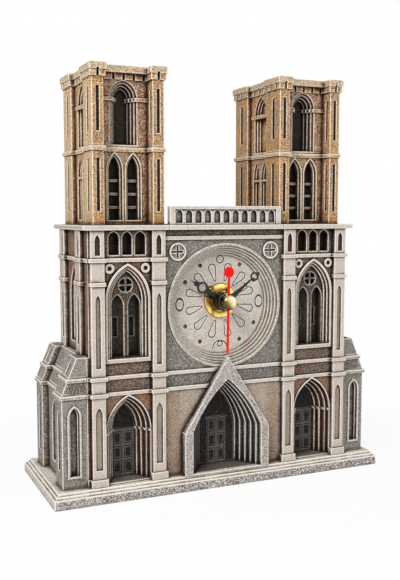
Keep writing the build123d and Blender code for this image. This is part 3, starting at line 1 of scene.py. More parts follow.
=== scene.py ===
import math
import bmesh
import bpy
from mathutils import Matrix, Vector


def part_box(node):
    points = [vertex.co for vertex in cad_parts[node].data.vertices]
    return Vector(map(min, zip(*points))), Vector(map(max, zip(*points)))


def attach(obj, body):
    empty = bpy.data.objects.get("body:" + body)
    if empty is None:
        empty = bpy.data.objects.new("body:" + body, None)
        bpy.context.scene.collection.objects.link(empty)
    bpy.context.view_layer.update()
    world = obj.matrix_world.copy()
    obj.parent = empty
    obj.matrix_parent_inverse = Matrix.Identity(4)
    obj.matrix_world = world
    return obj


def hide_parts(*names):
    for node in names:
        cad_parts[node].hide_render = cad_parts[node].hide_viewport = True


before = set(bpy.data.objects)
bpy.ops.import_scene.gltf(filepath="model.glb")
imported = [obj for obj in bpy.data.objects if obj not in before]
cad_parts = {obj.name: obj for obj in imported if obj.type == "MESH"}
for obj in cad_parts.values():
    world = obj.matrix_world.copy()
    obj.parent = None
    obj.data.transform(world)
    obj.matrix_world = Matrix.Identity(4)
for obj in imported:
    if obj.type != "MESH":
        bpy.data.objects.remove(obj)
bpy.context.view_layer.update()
print("frame loaded")

mm = 0.001
fullTurn = 2 * math.pi


def colour(hexText):  # a screen colour as linear red, green, blue, alpha
    parts = [int(hexText[at:at + 2], 16) / 255 for at in (0, 2, 4)]
    linear = [part / 12.92 if part < 0.04045 else ((part + 0.055) / 1.055) ** 2.4 for part in parts]
    return (*linear, 1.0)


class Wire:  # one output socket, with the arithmetic that the paints use
    def __init__(self, paint, socket):
        self.paint = paint
        self.socket = socket

    def maths(self, operation, first, second=None, clamp=False):
        values = {0: first} if second is None else {0: first, 1: second}
        return self.paint.make("Math", {"operation": operation, "use_clamp": clamp}, values)

    def __add__(self, other):
        return self.maths("ADD", self, other)

    __radd__ = __add__

    def __mul__(self, other):
        return self.maths("MULTIPLY", self, other)

    __rmul__ = __mul__

    def __sub__(self, other):
        return self.maths("SUBTRACT", self, other)

    def __rsub__(self, other):
        return self.maths("SUBTRACT", other, self)

    def __pow__(self, power):
        return self.maths("POWER", self, power)

    def clamped(self):
        return self.maths("ADD", self, 0.0, clamp=True)

    def atLeast(self, other):
        return self.maths("MAXIMUM", self, other)

    def sized(self):
        return self.maths("ABSOLUTE", self)

    def waves(self, pitch):  # from -1 to 1 and back once in each pitch
        return self.maths("SINE", self * (fullTurn / pitch))

    def step(self, low, high):  # 0 at low, 1 at high, smooth between
        return self.paint.make(
            "MapRange",
            {"interpolation_type": "SMOOTHSTEP"},
            {"Value": self, "From Min": low, "From Max": high, "To Min": 0.0, "To Max": 1.0},
        )

    def within(self, low, high, soft):  # 1 between low and high
        return self.step(low - soft, low + soft) * (1.0 - self.step(high - soft, high + soft))


# Noise by what it draws: scale per metre, detail, roughness
noiseKinds = {
    "cloud": (60.0, 4.0, 0.6),
    "patch": (240.0, 3.0, 0.6),
    "fleck": (1500.0, 3.0, 0.65),
    "grain": (3800.0, 2.0, 0.6),
    "tarnish": (350.0, 4.0, 0.6),
    "scratch": (5200.0, 2.0, 0.5),
    "peel": (1500.0, 2.0, 0.5),
    "dust": (420.0, 4.0, 0.65),
    "sand": (3300.0, 2.0, 0.5),
    "haze": (140.0, 3.0, 0.6),
    "enamel": (900.0, 3.0, 0.6),
    "weave": (1800.0, 2.0, 0.5),
    "scuff": (500.0, 4.0, 0.65),
}
shelterRays = 8


class Paint:  # a material or world, and the one way its nodes are made
    def __init__(self, owner):
        self.owner = owner
        self.owner.use_nodes = True
        self.tree = self.owner.node_tree
        self.tree.nodes.clear()

    def make(self, kind, settings=None, sockets=None, take=0):
        made = self.tree.nodes.new("ShaderNode" + kind)
        for key, value in (settings or {}).items():
            setattr(made, key, value)
        for key, value in (sockets or {}).items():
            if isinstance(value, Wire):
                self.tree.links.new(value.socket, made.inputs[key])
            else:
                made.inputs[key].default_value = value
        return Wire(self, made.outputs[take]) if made.outputs else None

    def split(self, kind, names, sockets=None):  # several outputs of one node
        outputs = self.make(kind, None, sockets).socket.node.outputs
        return [Wire(self, outputs[name]) for name in names]

    def place(self):
        return self.make("TexCoord", take="Object")

    def axes(self, point):
        return self.split("SeparateXYZ", "XYZ", {0: point})

    def noise(self, point, kind):
        scale, detail, roughness = noiseKinds[kind]
        return self.make(
            "TexNoise", None, {"Vector": point, "Scale": scale, "Detail": detail, "Roughness": roughness}
        )

    def mix(self, share, first, second):
        return self.make("Mix", {"data_type": "RGBA"}, {0: share, 6: first, 7: second}, take=2)

    def shelter(self, reach, inside=False):  # how closed in a point is, from 0 in the open to 1
        settings = {"inside": inside, "only_local": inside, "samples": shelterRays}
        return 1.0 - self.make("AmbientOcclusion", settings, {"Distance": reach}, take="AO")

    def bump(self, height, strength, depth):
        return self.make("Bump", None, {"Height": height, "Strength": strength, "Distance": depth})

    def surface(self, shader, output="OutputMaterial"):
        self.make(output, None, {"Surface": shader})
        return self.owner

    def finish(self, sockets):
        return self.surface(self.make("BsdfPrincipled", None, sockets))


# Cast stone: a ground of two tones, a brown stain, a black wash in the corners that is partly the paint's
# wash and partly painted shade of the corners and recesses, and pale brushing on the arrises. A zone is a
# box in millimetres: across, back and up are as in the frame, out is the
# distance from the middle plane, apart is the distance from the towers' own middle plane, and round
# holds a middle (out, up) and a radius. A deep zone is painted over the stain.
stoneLooks = {
    "slab": {
        "ground": "e8e2d9", "second": "dad3c9", "stain": "a98662", "washShade": "2c2925", "edge": "f6f1e8",
        "dim": "34322f", "pale": "f6f3ee", "mottle": 0.25, "shade": 0.8, "brush": 1.0,
        "zones": [
            {  # edge face
                "up": (-1, 4.2), "soft": 0.25,
                "colour": "a09e9c", "share": 1.0, "mottle": 1.0,
            },
            {  # edge face at the two ends
                "out": (86.4, 90), "up": (-1, 4.2), "soft": 0.2,
                "colour": "d3cfc9", "share": 0.9, "mottle": 0.5,
            },
        ],
        "deep": [],
    },
    "bay": {
        "ground": "714f3a", "second": "88674f", "stain": "5a3019", "washShade": "120c09", "edge": "f3eadf",
        "dim": "2f231b", "pale": "b3a08f", "mottle": 0.6, "shade": 1.15, "brush": 1.0,
        "zones": [
            {  # wall round the portals
                "out": (38, 61.4), "back": (-26.6, -20), "up": (8, 49.8), "soft": 0.3,
                "colour": "8d6a50", "share": 1.0,
            },
            {  # bands under and between the strings
                "back": (-26.6, -26), "up": (51, 64), "soft": 0.3,
                "colour": "5f554d", "share": 0.95, "mottle": 0.8,
            },
            {  # wall round the arcade
                "back": (-26.6, -26), "up": (112.5, 125.4), "soft": 0.3,
                "colour": "57483d", "share": 0.9,
            },
            {  # recesses of the windows and arcades
                "out": (36, 65), "back": (-25.7, 20), "up": (60, 126), "soft": 0.3,
                "colour": "55412f", "share": 0.9,
            },
            {  # pilasters and mouldings of the front
                "back": (-40, -26.6), "soft": 0.15,
                "colour": "d4c8bc", "share": 0.96, "mottle": 0.3,
            },
            {  # pilasters of the end
                "out": (69.3, 80), "back": (-27, 30), "soft": 0.15,
                "colour": "c9beb1", "share": 0.9, "mottle": 0.6,
            },
        ],
        "deep": [
            {  # long panels of the pilasters
                "back": (-28.2, -27.4), "up": (12, 98), "soft": 0.15,
                "colour": "a08c79", "share": 0.85, "brush": 0.5,
            },
            {  # short panels beside the arcade
                "back": (-28.2, -27.4), "up": (113.5, 124), "soft": 0.15,
                "colour": "3a2016", "share": 0.95, "brush": 0.2,
            },
            {  # portal jambs
                "out": (38, 61.4), "back": (-25.7, 20), "up": (7, 49), "soft": 0.3,
                "colour": "5a2e1b", "share": 0.92, "brush": 0.75, "mottle": 0.4,
            },
            # painted shade: the floors inside the portals are made dark, where shade falls
            {  # portal floors
                "out": (38, 61.4), "back": (-25.9, 20), "up": (7.2, 8.2), "soft": 0.3,
                "colour": "3b3129", "share": 0.95, "brush": 0.2, "mottle": 1.0,
            },
            {  # window jambs
                "out": (38, 61.4), "back": (-24.2, 20), "up": (62, 112), "soft": 0.4,
                "colour": "45362b", "share": 0.75, "brush": 0.5,
            },
            {  # ground of the windows
                "out": (36, 65), "back": (-20.4, 20), "up": (62, 112), "soft": 0.4,
                "colour": "3a3936", "share": 0.95, "brush": 0.35, "mottle": 0.8,
            },
            {  # round light over the lancets
                "round": (49.75, 99.9, 2.5), "back": (-25.6, -20), "soft": 0.2,
                "colour": "4d463e", "share": 0.9, "brush": 0.15,
            },
            {  # ground of the arcade
                "out": (38, 61.4), "back": (-25.9, 20), "up": (113.8, 125), "soft": 0.3,
                "colour": "33231a", "share": 0.95, "brush": 0.2,
            },
        ],
    },
    "front": {
        "ground": "77726c", "second": "858079", "stain": "5e412c", "washShade": "1d1916", "edge": "f3ebe0",
        "dim": "45413d", "pale": "bdb7af", "mottle": 0.8, "shade": 1.0, "brush": 1.0,
        "zones": [
            {  # lower wall
                "back": (-26.6, -20), "up": (0, 49.8), "soft": 0.5,
                "colour": "b7a694", "share": 1.0, "mottle": 0.55,
            },
            {  # stained foot of it
                "back": (-26.6, -20), "up": (-6, 16), "soft": 5,
                "colour": "8a6241", "share": 0.65,
            },
            {  # stained sides of it
                "out": (23.5, 30), "back": (-26.6, -20), "up": (0, 49.8), "soft": 1.3,
                "colour": "8a6241", "share": 0.55,
            },
            {  # band between the strings
                "back": (-26.6, -20), "up": (51, 57.6), "soft": 0.3,
                "colour": "696560", "share": 0.95,
            },
            {  # frieze
                "back": (-26.6, -20), "up": (122, 125.6), "soft": 0.3,
                "colour": "6b645c", "share": 0.95,
            },
            {  # strings, cornice and roundels
                "back": (-40, -26.65), "soft": 0.1,
                "colour": "d6ccc0", "share": 0.95, "mottle": 0.25,
            },
        ],
        "deep": [],
    },
    "dial": {
        "ground": "cbc2b6", "second": "d6cec3", "stain": "9a8b78", "washShade": "332c25", "edge": "f4eee4",
        "dim": "968d82", "pale": "e8e1d7", "mottle": 0.6, "shade": 0.8, "brush": 0.8,
        "zones": [
            {  # stepped rings
                "back": (-28, -21.1), "soft": 0.12,
                "colour": "999085", "share": 0.9, "mottle": 1.0,
            },
        ],
        "deep": [
            {  # bottoms of the holes
                "back": (-20.7, -10), "soft": 0.06,
                "colour": "40372d", "share": 1.0, "brush": 0.0,
            },
        ],
    },
    "porch": {
        "ground": "aba29b", "second": "bbb2aa", "stain": "4a3a2f", "washShade": "0f0c0a", "edge": "f4ede3",
        "dim": "6d655f", "pale": "ddd6ce", "mottle": 1.0, "shade": 1.2, "brush": 1.0,
        "zones": [
            {  # all behind the gable's face
                "back": (-28.2, 0), "up": (7.3, 70), "soft": 0.2,
                "colour": "46403b", "share": 0.95,
            },
        ],
        "deep": [
            {  # arch orders
                "out": (-1, 17.6), "back": (-27.4, 0), "up": (7.0, 53), "soft": 0.2,
                "colour": "211d1a", "share": 0.93, "brush": 1.0, "mottle": 0.7,
            },
            # painted shade: the left side of the orders is kept dark and nearly unbrushed, as shade falls
            # on it
            {  # their left side
                "across": (-17.9, -5), "back": (-28.6, 0), "up": (7.6, 51), "soft": 0.2,
                "colour": "211d1a", "share": 0.93, "brush": 0.03, "mottle": 0.5,
            },
            # painted shade: the floor inside the porch is made dark, where shade falls
            {  # floor
                "out": (-1, 20), "back": (-27.6, 0), "up": (7.0, 8.0), "soft": 0.15,
                "colour": "4f4840", "share": 0.95, "brush": 0.02, "mottle": 0.8,
            },
        ],
    },
    "gallery": {
        "ground": "d2c9be", "second": "c2b9ad", "stain": "8d7d6b", "washShade": "201d1a", "edge": "f5eee4",
        "dim": "8e867d", "pale": "ece5db", "mottle": 0.4, "shade": 1.1, "brush": 1.0,
        "zones": [],
        "deep": [
            {  # openings
                "out": (-1, 27), "back": (-27.9, -26.0), "up": (127, 135.1), "soft": 0.1,
                "colour": "6a655f", "share": 0.95, "mottle": 0.8,
            },
            # painted shadow: a dark line across the heads of the openings, under the rail
            {  # heads of the openings
                "out": (-1, 27), "back": (-28.4, -27.9), "up": (134.0, 135.1), "soft": 0.2,
                "colour": "4f4a45", "share": 0.9,
            },
        ],
    },
    "tower": {
        "ground": "a5805c", "second": "c8904f", "stain": "8a4617", "washShade": "1a110b", "edge": "f7ead3",
        "dim": "5a3c30", "pale": "ecd6b2", "mottle": 1.0, "shade": 1.1, "brush": 0.85,
        "zones": [
            {  # walls between the corner piers
                "out": (36.5, 59.6), "apart": (-1, 17.6), "up": (129, 194), "soft": 0.3,
                "colour": "9a806c", "share": 0.8,
            },
            # painted light: the outer sides of the piers are made paler, as lit sides
            {  # outer sides of the piers
                "out": (64.9, 70), "soft": 0.2,
                "colour": "e2c59c", "share": 0.75,
            },
            {  # middle band
                "up": (162.3, 164.5), "soft": 0.2,
                "colour": "dccbb0", "share": 0.85, "mottle": 0.4,
            },
            {  # crown
                "up": (197.1, 210), "soft": 0.3,
                "colour": "cbb799", "share": 0.85, "mottle": 0.8,
            },
        ],
        "deep": [
            {  # slits of the inner piers, front and back
                "out": (32.4, 34.6), "apart": (23.0, 24.3), "up": (133, 191), "soft": 0.15,
                "colour": "32180f", "share": 0.95, "brush": 0.3,
            },
            {  # slits of the outer piers, front and back
                "out": (61.5, 63.7), "apart": (23.0, 24.3), "up": (133, 191), "soft": 0.15,
                "colour": "32180f", "share": 0.95, "brush": 0.3,
            },
            {  # slits of the outer side
                "out": (63.9, 65.15), "apart": (16.1, 18.8), "up": (133, 191), "soft": 0.15,
                "colour": "3a1b10", "share": 0.95, "brush": 0.3,
            },
            {  # slits of the inner side
                "out": (30.9, 32.2), "apart": (16.1, 18.8), "up": (133, 191), "soft": 0.15,
                "colour": "3a1b10", "share": 0.95, "brush": 0.3,
            },
            {  # jambs of the arches and lancets
                "out": (36.5, 59.6), "apart": (-1, 16.0), "up": (129, 195), "soft": 0.3,
                "colour": "453a32", "share": 0.85, "brush": 0.6, "mottle": 0.5,
            },
            {  # ground of the arches and lancets
                "out": (36.5, 59.6), "apart": (-1, 13.9), "up": (129, 195), "soft": 0.3,
                "colour": "1b1916", "share": 0.97, "brush": 0.35, "mottle": 0.2,
            },
        ],
    },
    "buttress": {
        "ground": "77716a", "second": "938d85", "stain": "5f4a39", "washShade": "23201c", "edge": "f2eade",
        "dim": "4d4943", "pale": "d3ccc3", "mottle": 0.75, "shade": 0.95, "brush": 1.0,
        "zones": [
            {  # lower string
                "up": (49.9, 51.6), "soft": 0.15,
                "colour": "dcd2c6", "share": 0.9, "mottle": 0.3,
            },
            {  # upper string
                "up": (57.6, 59.3), "soft": 0.15,
                "colour": "dcd2c6", "share": 0.9, "mottle": 0.3,
            },
        ],
        "deep": [
            {  # band between the strings
                "out": (69, 78), "back": (-26.4, -25.3), "up": (51.2, 57), "soft": 0.2,
                "colour": "5c5148", "share": 0.9, "mottle": 0.8,
            },
        ],
    },
    "door": {
        "ground": "171513", "second": "211f1d", "stain": "120f0d", "washShade": "050505", "edge": "a09a91",
        "dim": "070606", "pale": "5c5751", "mottle": 0.7, "shade": 0.5, "brush": 0.75,
        "zones": [],
        "deep": [],
    },
}

# What all cast stone shares. Lengths are in millimetres, and a pair is where a layer starts and is full.
stoneLayers = {
    "tones": (0.42, 0.58), "fleckShare": 0.65,
    "reach": {"near": 2.2, "far": 11.0, "rim": 0.75},
    "closed": {"near": 1.5, "far": 1.1, "patch": 0.7, "cloud": 0.8},
    "stain": (0.25, 0.85), "stainShare": 0.7,
    # the wash is painted shade of the corners and recesses as well as the paint's wash
    "washShade": (0.5, 1.4), "washShadeShare": 0.95,
    "dim": (0.5, 0.425), "pale": (0.515, 0.6),
    "brushing": {"rim": 1.6, "strip": 0.95, "least": 0.4, "broken": 0.75, "lostInShade": 0.75},
    "broken": (0.42, 0.56),
    "rough": 0.8, "roughSpread": 0.2, "specular": 0.25, "bump": 0.8, "bumpDepth": 0.4,
}
towerMiddle = (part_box("tower_right")[0][1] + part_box("tower_right")[1][1]) / 2


def castStone(name, look):
    paint = Paint(bpy.data.materials.new(name))
    layers = stoneLayers
    point = paint.place()
    across, back, up = paint.axes(point)
    spots = {
        "across": across, "out": across.sized(), "back": back, "up": up,
        "apart": (back - towerMiddle).sized(),
    }
    cloud, patch, fleck, grain = [paint.noise(point, kind) for kind in ("cloud", "patch", "fleck", "grain")]
    speck = fleck * layers["fleckShare"] + grain * (1 - layers["fleckShare"])

    def shareOf(zone):
        share = zone["share"]
        soft = zone["soft"] * mm
        for axis, spot in spots.items():
            if axis in zone:
                low, high = zone[axis]
                share = spot.within(low * mm, high * mm, soft) * share
        if "round" in zone:
            middle, height, radius = [length * mm for length in zone["round"]]
            distance = ((spots["out"] - middle) ** 2.0 + (up - height) ** 2.0) ** 0.5
            share = (1.0 - distance.step(radius - soft, radius + soft)) * share
        return share

    def laid(zones, body, mottle, brush):
        for zone in zones:
            share = shareOf(zone)
            body = paint.mix(share, body, colour(zone["colour"]))
            if "mottle" in zone:
                mottle = mottle + (zone["mottle"] - mottle) * share
            if "brush" in zone:
                brush = brush + (zone["brush"] - brush) * share
        return body, mottle, brush

    tones = ((cloud + patch) * 0.5).step(*layers["tones"])
    ground = paint.mix(tones, colour(look["ground"]), colour(look["second"]))
    body, mottle, brush = laid(look["zones"], ground, look["mottle"], look["brush"])

    near, far = [paint.shelter(layers["reach"][kind] * mm) for kind in ("near", "far")]
    rim = paint.shelter(layers["reach"]["rim"] * mm, inside=True)
    strip = paint.make("Attribute", {"attribute_name": "edge"}, take="Fac")
    shares = layers["closed"]
    closed = (  # high in the corners, and it wanders with the noise
        (near * shares["near"] + far * shares["far"]) * look["shade"]
        + (patch - 0.5) * shares["patch"] + (cloud - 0.5) * shares["cloud"]
    )
    body = paint.mix(closed.step(*layers["stain"]) * layers["stainShare"], body, colour(look["stain"]))
    body, mottle, brush = laid(look["deep"], body, mottle, brush)

    # dark and pale specks, then the wash over them, which is painted shade in corners and recesses too
    body = paint.mix(speck.step(*layers["dim"]) * mottle, body, colour(look["dim"]))
    # painted shade: the wash darkens what is closed in, as shade would, and fades the pale specks there
    shadeMask = closed.step(*layers["washShade"])
    pale = speck.step(*layers["pale"]) * mottle * (1.0 - shadeMask) * brush
    body = paint.mix(pale, body, colour(look["pale"]))
    tone = paint.mix(shadeMask * layers["washShadeShare"], body, colour(look["washShade"]))

    # painted shade also takes the brushing away where the wash lies
    brushing = layers["brushing"]  # on the rounded strips and near any rim, broken by the specks
    broken = speck.step(*layers["broken"]) * brushing["broken"] + brushing["least"]
    brushed = ((rim * brushing["rim"] + strip * brushing["strip"]) * broken * brush).clamped()
    tone = paint.mix(brushed * (1.0 - shadeMask * brushing["lostInShade"]), tone, colour(look["edge"]))
    return paint.finish({
        "Base Color": tone,
        "Roughness": (patch - 0.5) * layers["roughSpread"] + layers["rough"],
        "Specular IOR Level": layers["specular"],
        "Normal": paint.bump(speck, layers["bump"], layers["bumpDepth"] * mm),
    })


# The plain paints, each with its own numbers above it: lengths in millimetres, pairs as for cast stone
shaft = {"across": 0.0, "up": 90.3 * mm}
metalLayers = {
    "tarnish": (0.4, 0.72), "scratchShare": 0.5, "ringShare": 0.25, "ringPitch": 0.16,
    "sideSlope": 0.7, "wander": {"radius": 2.0, "side": 1.5}, "roughSpread": 0.18, "bumpDepth": 0.02,
}


def fromShaft(paint):  # distance from the hands' axis
    across, _, up = paint.axes(paint.place())
    return ((across - shaft["across"]) ** 2.0 + (up - shaft["up"]) ** 2.0) ** 0.5


def metalPaint(name, look):
    paint = Paint(bpy.data.materials.new(name))
    layers = metalLayers
    point = paint.place()
    tarnish = paint.noise(point, "tarnish")
    height = paint.noise(point, "scratch")
    if look.get("turned"):
        rings = fromShaft(paint).waves(layers["ringPitch"] * mm)
        height = height * layers["scratchShare"] + rings * layers["ringShare"]
    tone = paint.mix(tarnish.step(*layers["tarnish"]), colour(look["bright"]), colour(look["dull"]))
    # painted reflection: the hub's dark inside the washer's rim, and a dark room on the low left of the cap
    if "paintedReflection" in look:  # darker inside a radius, or on the low left of the dome
        reflection = look["paintedReflection"]
        if reflection["by"] == "radius":
            distance = fromShaft(paint)
        else:
            across, _, up = paint.axes(point)
            distance = across + (up - shaft["up"]) * layers["sideSlope"]
        wander = (tarnish - 0.5) * (layers["wander"][reflection["by"]] * mm)
        paintedReflection = 1.0 - (distance + wander).step(reflection["from"] * mm, reflection["to"] * mm)
        tone = paint.mix(paintedReflection * reflection["share"], tone, colour(reflection["colour"]))
    return paint.finish({
        "Base Color": tone,
        "Metallic": 1.0,
        "Roughness": (tarnish - 0.5) * layers["roughSpread"] + look["rough"],
        "Normal": paint.bump(height, look["relief"], layers["bumpDepth"] * mm),
    })


lacquerLayers = {
    "dust": (0.45, 0.8), "dustShare": 0.5, "roughSpread": 0.2, "bump": 0.25, "bumpDepth": 0.03,
}


def lacquerPaint(name, look):
    paint = Paint(bpy.data.materials.new(name))
    layers = lacquerLayers
    point = paint.place()
    peel, dust = paint.noise(point, "peel"), paint.noise(point, "dust")
    worn = dust.step(*layers["dust"]) * layers["dustShare"]
    return paint.finish({
        "Base Color": paint.mix(worn, colour(look["base"]), colour(look["worn"])),
        "Roughness": (dust - 0.5) * layers["roughSpread"] + look["rough"],
        "Specular IOR Level": look["gloss"],
        "Normal": paint.bump(peel, layers["bump"], layers["bumpDepth"] * mm),
    })


plasticLayers = {
    "haze": (0.35, 0.75), "rimReach": 0.6, "rimShare": 1.6, "roughSpread": 0.15, "bumpDepth": 0.05,
}


def plasticPaint(name, look):
    paint = Paint(bpy.data.materials.new(name))
    layers = plasticLayers
    point = paint.place()
    sand, haze = paint.noise(point, "sand"), paint.noise(point, "haze")
    rim = paint.shelter(layers["rimReach"] * mm, inside=True)
    tone = paint.mix(haze.step(*layers["haze"]), colour(look["base"]), colour(look["second"]))
    tone = paint.mix((rim * haze * layers["rimShare"]).clamped(), tone, colour(look["worn"]))
    return paint.finish({
        "Base Color": tone,
        "Roughness": (haze - 0.5) * layers["roughSpread"] + look["rough"],
        "Normal": paint.bump(sand, look["relief"], layers["bumpDepth"] * mm),
    })


windingLook = {
    "low": "7c3a17", "high": "d88a4a", "pitch": 0.22, "rowShare": 0.35, "enamelShare": 0.6,
    "metallic": 0.85, "rough": 0.3, "roughSpread": 0.2, "bump": 0.7, "bumpDepth": 0.06,
}


def windingPaint(name, look):  # rows of enamelled wire round a bobbin that lies along x
    paint = Paint(bpy.data.materials.new(name))
    point = paint.place()
    row = paint.axes(point)[0].waves(look["pitch"] * mm)
    enamel = paint.noise(point, "enamel")
    share = row * look["rowShare"] + enamel * look["enamelShare"]
    return paint.finish({
        "Base Color": paint.mix(share, colour(look["low"]), colour(look["high"])),
        "Metallic": look["metallic"],
        "Roughness": (enamel - 0.5) * look["roughSpread"] + look["rough"],
        "Normal": paint.bump(row, look["bump"], look["bumpDepth"] * mm),
    })


boardLook = {
    "low": "0f4a2b", "high": "1a6338", "track": "4f9156", "trackShare": 0.8,
    "rowPitch": 1.6, "row": (0.72, 0.8), "columnPitch": 2.3, "column": (0.86, 0.92),
    "rough": 0.35, "roughSpread": 0.15, "coat": 0.3, "bump": 0.4, "bumpDepth": 0.04,
}


def boardPaint(name, look):  # green solder mask with copper tracks under it
    paint = Paint(bpy.data.materials.new(name))
    point = paint.place()
    across, _, up = paint.axes(point)
    rows = up.waves(look["rowPitch"] * mm).step(*look["row"])
    columns = across.waves(look["columnPitch"] * mm).step(*look["column"])
    track = rows.atLeast(columns)
    weave = paint.noise(point, "weave")
    mask = paint.mix(weave, colour(look["low"]), colour(look["high"]))
    return paint.finish({
        "Base Color": paint.mix(track * look["trackShare"], mask, colour(look["track"])),
        "Roughness": weave * look["roughSpread"] + look["rough"],
        "Coat Weight": look["coat"],
        "Normal": paint.bump(track, look["bump"], look["bumpDepth"] * mm),
    })


cellLook = {
    "bare": "b9b7b2", "wrap": "1d1f24", "band": "b9773a", "scuffed": "8d8a86",
    "bareAtMinus": 1.2, "bareAtPlus": 2.4, "bandFrom": 15.0, "soft": 0.05,
    "scuff": (0.58, 0.75), "scuffShare": 0.4, "sleeveDulls": 0.75,
    "rough": 0.28, "roughSpread": 0.2, "bump": 0.15, "bumpDepth": 0.03,
}


def cellPaint(name, look):  # plain two-colour sleeve between bare metal ends
    paint = Paint(bpy.data.materials.new(name))
    point = paint.place()
    across = paint.axes(point)[0]
    low, high = [corner[0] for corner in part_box("cell")]
    sleeveEnd = high - look["bareAtPlus"] * mm
    sleeve = across.within(low + look["bareAtMinus"] * mm, sleeveEnd, look["soft"] * mm)
    band = across.within(high - look["bandFrom"] * mm, sleeveEnd, look["soft"] * mm)
    scuff = paint.noise(point, "scuff")
    wrap = paint.mix(band, colour(look["wrap"]), colour(look["band"]))
    wrap = paint.mix(scuff.step(*look["scuff"]) * look["scuffShare"], wrap, colour(look["scuffed"]))
    return paint.finish({
        "Base Color": paint.mix(sleeve, colour(look["bare"]), wrap),
        "Metallic": 1.0 - sleeve * look["sleeveDulls"],
        "Roughness": scuff * look["roughSpread"] + look["rough"],
        "Normal": paint.bump(scuff, look["bump"], look["bumpDepth"] * mm),
    })


metals = {
    "brass": {"bright": "e3c46e", "dull": "8d6a2a", "rough": 0.16, "relief": 0.2, "turned": True},
    "washerBrass": {
        "bright": "ecd07c", "dull": "c39a48", "rough": 0.16, "relief": 0.2, "turned": True,
        # painted reflection of the dark hub inside the washer's rim
        "paintedReflection": {"by": "radius", "from": 5.2, "to": 7.4, "colour": "54400f", "share": 0.9},
    },
    "capBrass": {
        "bright": "efe0ab", "dull": "c9a95c", "rough": 0.14, "relief": 0.15,
        # painted reflection, dark on the low left of the dome
        "paintedReflection": {"by": "side", "from": -2.6, "to": 1.2, "colour": "4c3d18", "share": 0.9},
    },
    "nickel": {"bright": "cfccc6", "dull": "a9a59d", "rough": 0.24, "relief": 0.3, "turned": True},
    "springSteel": {"bright": "c3c2bd", "dull": "8f8d88", "rough": 0.3, "relief": 0.4},
    "coreSteel": {"bright": "9c9a96", "dull": "6f6b66", "rough": 0.42, "relief": 0.6},
    "crystalCan": {"bright": "d0cec8", "dull": "a7a49d", "rough": 0.25, "relief": 0.3},
}
lacquers = {
    "blackLacquer": {"base": "060607", "worn": "191715", "rough": 0.34, "gloss": 0.3},
    "redLacquer": {"base": "ee1108", "worn": "d60c06", "rough": 0.55, "gloss": 0.12},
}
plastics = {
    "casePlastic": {"base": "17181a", "second": "202124", "worn": "4a4a4c", "rough": 0.5, "relief": 0.5},
    "coverPlastic": {"base": "1b1c1e", "second": "26272a", "worn": "515153", "rough": 0.42, "relief": 0.4},
    "knobPlastic": {"base": "131415", "second": "1d1e20", "worn": "4d4d4e", "rough": 0.36, "relief": 0.3},
    "gasketRubber": {"base": "141414", "second": "1f1e1d", "worn": "33312f", "rough": 0.75, "relief": 0.5},
    "wheelNylon": {"base": "e6e1d3", "second": "d6d0bf", "worn": "f3f0e8", "rough": 0.4, "relief": 0.2},
    "bobbinNylon": {"base": "dcd6c6", "second": "c9c2b0", "worn": "efebe1", "rough": 0.45, "relief": 0.2},
    "rotorFerrite": {"base": "2b2a2c", "second": "3b393a", "worn": "5c595a", "rough": 0.5, "relief": 0.6},
    "chipResin": {"base": "101011", "second": "1a1a1b", "worn": "2e2e2f", "rough": 0.28, "relief": 0.2},
}
clockPaints = {}
for paintOf, looks in (
    (metalPaint, metals), (lacquerPaint, lacquers), (plasticPaint, plastics),
    (windingPaint, {"coilWire": windingLook}), (boardPaint, {"boardGreen": boardLook}),
    (cellPaint, {"cellSleeve": cellLook}),
):
    clockPaints.update({name: paintOf(name, look) for name, look in looks.items()})
stonePaints = {name: castStone(name + "Stone", look) for name, look in stoneLooks.items()}
print("paints ready")

# Castings: merged and rounded copies of the nodes, with the width of the rounding in millimetres
castings = {
    "base_plinth": {"paint": "slab", "round": 0.4, "slot": "cast_slab"},
    "bay_right": {"paint": "bay", "round": 0.28, "slot": "cast_bay"},
    "bay_left": {"paint": "bay", "round": 0.28, "slot": "cast_bay"},
    "side_door_right": {"paint": "door", "round": 0.12, "slot": "door_paint"},
    "side_door_left": {"paint": "door", "round": 0.12, "slot": "door_paint"},
    "centre_wall": {"paint": "front", "round": 0.28, "slot": "cast_front"},
    "dial": {"paint": "dial", "round": 0.14, "slot": "cast_dial"},
    "porch": {"paint": "porch", "round": 0.28, "slot": "cast_front"},
    "centre_doors": {"paint": "door", "round": 0.12, "slot": "door_paint"},
    "buttress_right": {"paint": "buttress", "round": 0.28, "slot": "cast_buttress"},
    "buttress_left": {"paint": "buttress", "round": 0.28, "slot": "cast_buttress"},
    "gallery": {"paint": "gallery", "round": 0.18, "slot": "cast_front"},
    "tower_right": {"paint": "tower", "round": 0.28, "slot": "cast_tower"},
    "tower_left": {"paint": "tower", "round": 0.28, "slot": "cast_tower"},
}
rounding = {"fromDegrees": 25, "segments": 2, "weldWithin": 0.002}


def placed(name, data):  # a new object in the scene
    holder = bpy.data.objects.new(name, data)
    bpy.context.scene.collection.objects.link(holder)
    return holder


